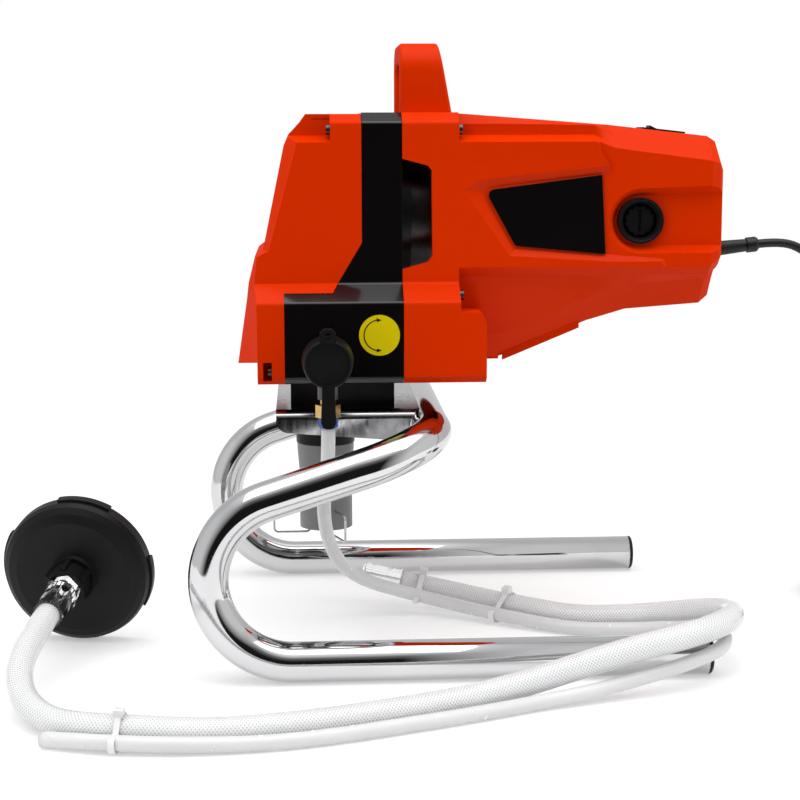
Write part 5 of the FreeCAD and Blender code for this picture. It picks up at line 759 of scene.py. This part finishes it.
def makeLabelArrow(look):
    build = bmesh.new()
    start, end = (math.radians(turn) for turn in look["arrowTurn"])
    middleX, middleZ = look["middle"]

    def spot(outward, turn):
        radius = look["arrowRadius"] + outward
        return build.verts.new((middleX - radius * math.cos(turn), look["face"],
                                middleZ + radius * math.sin(turn)))

    def pair(wide, turn):
        return spot(wide / 2, turn), spot(-wide / 2, turn)

    steps = look["arrowSteps"]
    rows = [pair(look["arrowWide"], start + (end - start) * number / steps) for number in range(steps + 1)]
    for first, second in zip(rows, rows[1:]):
        build.faces.new((first[0], first[1], second[1], second[0]))
    for turn, way in ((start, -1), (end, 1)):
        tip = spot(0, turn + way * look["headLong"] / look["arrowRadius"])
        build.faces.new((*pair(look["headWide"], turn), tip))
    lifted = bmesh.ops.extrude_face_region(build, geom=build.faces[:])
    for item in lifted["geom"]:
        if isinstance(item, bmesh.types.BMVert):
            item.co.y -= look["arrowThick"]
    arrow = addObject("labelArrow", meshOf(build, "labelArrow", finishes["black_plastic"]))
    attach(arrow, "frame")


makeLabelArrow(labelLook)
print("label drawn")


# Floor and lights
stageLook = {
    "colour": (0.60, 0.60, 0.60),
    "roughness": 0.6,
    "glow": 0.36,
    "corners": ((-1.3, -0.44), (1.3, 1.6)),
}


def makeStage(look):
    mesh = bpy.data.meshes.new("studioFloor")
    (left, front), (right, back) = look["corners"]
    build = bmesh.new()
    build.faces.new([build.verts.new((x, y, 0.0)) for x, y in
                     ((left, front), (right, front), (right, back), (left, back))])
    build.to_mesh(mesh)
    build.free()
    material, tree, shader = startFinish("studioPaper")
    shader.inputs["Base Color"].default_value = (*look["colour"], 1)
    shader.inputs["Roughness"].default_value = look["roughness"]
    shader.inputs["Emission Color"].default_value = (1, 1, 1, 1)
    shader.inputs["Emission Strength"].default_value = look["glow"]
    mesh.materials.append(material)
    addObject("studioFloor", mesh)


lightLook = {
    "left": {
        "place": (-1.0, -1.30, 0.75), "aim": (0, 0, 0.22), "size": (1.0, 1.3), "power": 9,
        "mirrored": False},
    "top": {
        "place": (0.0, -0.35, 1.6), "aim": (0.0, 0.0, 0.2), "size": (2.4, 1.3), "power": 18,
        "mirrored": True},
    "right": {
        "place": (1.45, -0.75, 0.75), "aim": (0.1, 0, 0.22), "size": (0.7, 1.2), "power": 8,
        "mirrored": False},
}


def makeLights(looks):
    for name, look in looks.items():
        data = bpy.data.lights.new(name + "Light", "AREA")
        data.shape = "RECTANGLE"
        data.size, data.size_y = look["size"]
        data.energy = look["power"]
        light = addObject(name + "Light", data)
        light.visible_camera = False
        light.visible_glossy = look["mirrored"]
        way = Vector(look["aim"]) - Vector(look["place"])
        turned = way.to_track_quat("-Z", "Y").to_matrix().to_4x4()
        light.matrix_world = Matrix.Translation(look["place"]) @ turned


# Studio round the machine: dim in front, softly lit at the sides and behind, bright overhead,
# and plain white where the view looks past the paper
worldLook = {
    "stops": [(0.0, (0.01, 0.01, 0.01)), (0.50, (0.006, 0.006, 0.006)), (0.66, (0.008, 0.008, 0.008)),
              (0.78, (0.10, 0.10, 0.10)), (0.88, (0.48, 0.48, 0.48)), (1.0, (0.95, 0.95, 0.95))],
    "strength": 1.9,
    "sides": (0.42, 0.42, 0.42),
    "sidesFrom": (0.42, 0.85),
    "behind": (0.34, 0.34, 0.34),
    "behindFrom": (0.15, 0.6),
    "plain": (1.0, 1.0, 1.0),
}


def makeWorld(look):
    world = bpy.data.worlds.new("studioWorld")
    world.use_nodes = True
    tree = world.node_tree
    where = tree.nodes.new("ShaderNodeTexCoord")
    split = tree.nodes.new("ShaderNodeSeparateXYZ")
    ramp = tree.nodes.new("ShaderNodeValToRGB")
    tree.links.new(where.outputs["Generated"], split.inputs["Vector"])
    tree.links.new(fitRange(tree, split.outputs["Z"], 0, 1, -1, 1), ramp.inputs["Fac"])
    stops = ramp.color_ramp.elements
    while len(stops) < len(look["stops"]):
        stops.new(0.5)
    for stop, (place, colour) in zip(stops, look["stops"]):
        stop.position = place
        stop.color = (*colour, 1)
    sideways = tree.nodes.new("ShaderNodeMath")
    sideways.operation = "ABSOLUTE"
    tree.links.new(split.outputs["X"], sideways.inputs[0])
    sidesShare = fitRange(tree, sideways.outputs[0], 0, 1, *look["sidesFrom"])
    behindShare = fitRange(tree, split.outputs["Y"], 0, 1, *look["behindFrom"])
    studio = blendColour(tree, sidesShare, ramp.outputs["Color"], look["sides"])
    studio = blendColour(tree, behindShare, studio, look["behind"])
    dome = tree.nodes["Background"]
    dome.inputs["Strength"].default_value = look["strength"]
    tree.links.new(studio, dome.inputs["Color"])
    plain = tree.nodes.new("ShaderNodeBackground")
    plain.inputs["Color"].default_value = (*look["plain"], 1)
    path = tree.nodes.new("ShaderNodeLightPath")
    either = tree.nodes.new("ShaderNodeMath")
    either.operation = "MAXIMUM"
    tree.links.new(path.outputs["Is Camera Ray"], either.inputs[0])
    tree.links.new(path.outputs["Is Transmission Ray"], either.inputs[1])
    mixed = tree.nodes.new("ShaderNodeMixShader")
    tree.links.new(either.outputs[0], mixed.inputs[0])
    tree.links.new(dome.outputs[0], mixed.inputs[1])
    tree.links.new(plain.outputs[0], mixed.inputs[2])
    tree.links.new(mixed.outputs[0], tree.nodes["World Output"].inputs["Surface"])
    bpy.context.scene.world = world


makeStage(stageLook)
makeLights(lightLook)
makeWorld(worldLook)
bpy.context.scene.view_settings.view_transform = "Standard"
print("stage lit")
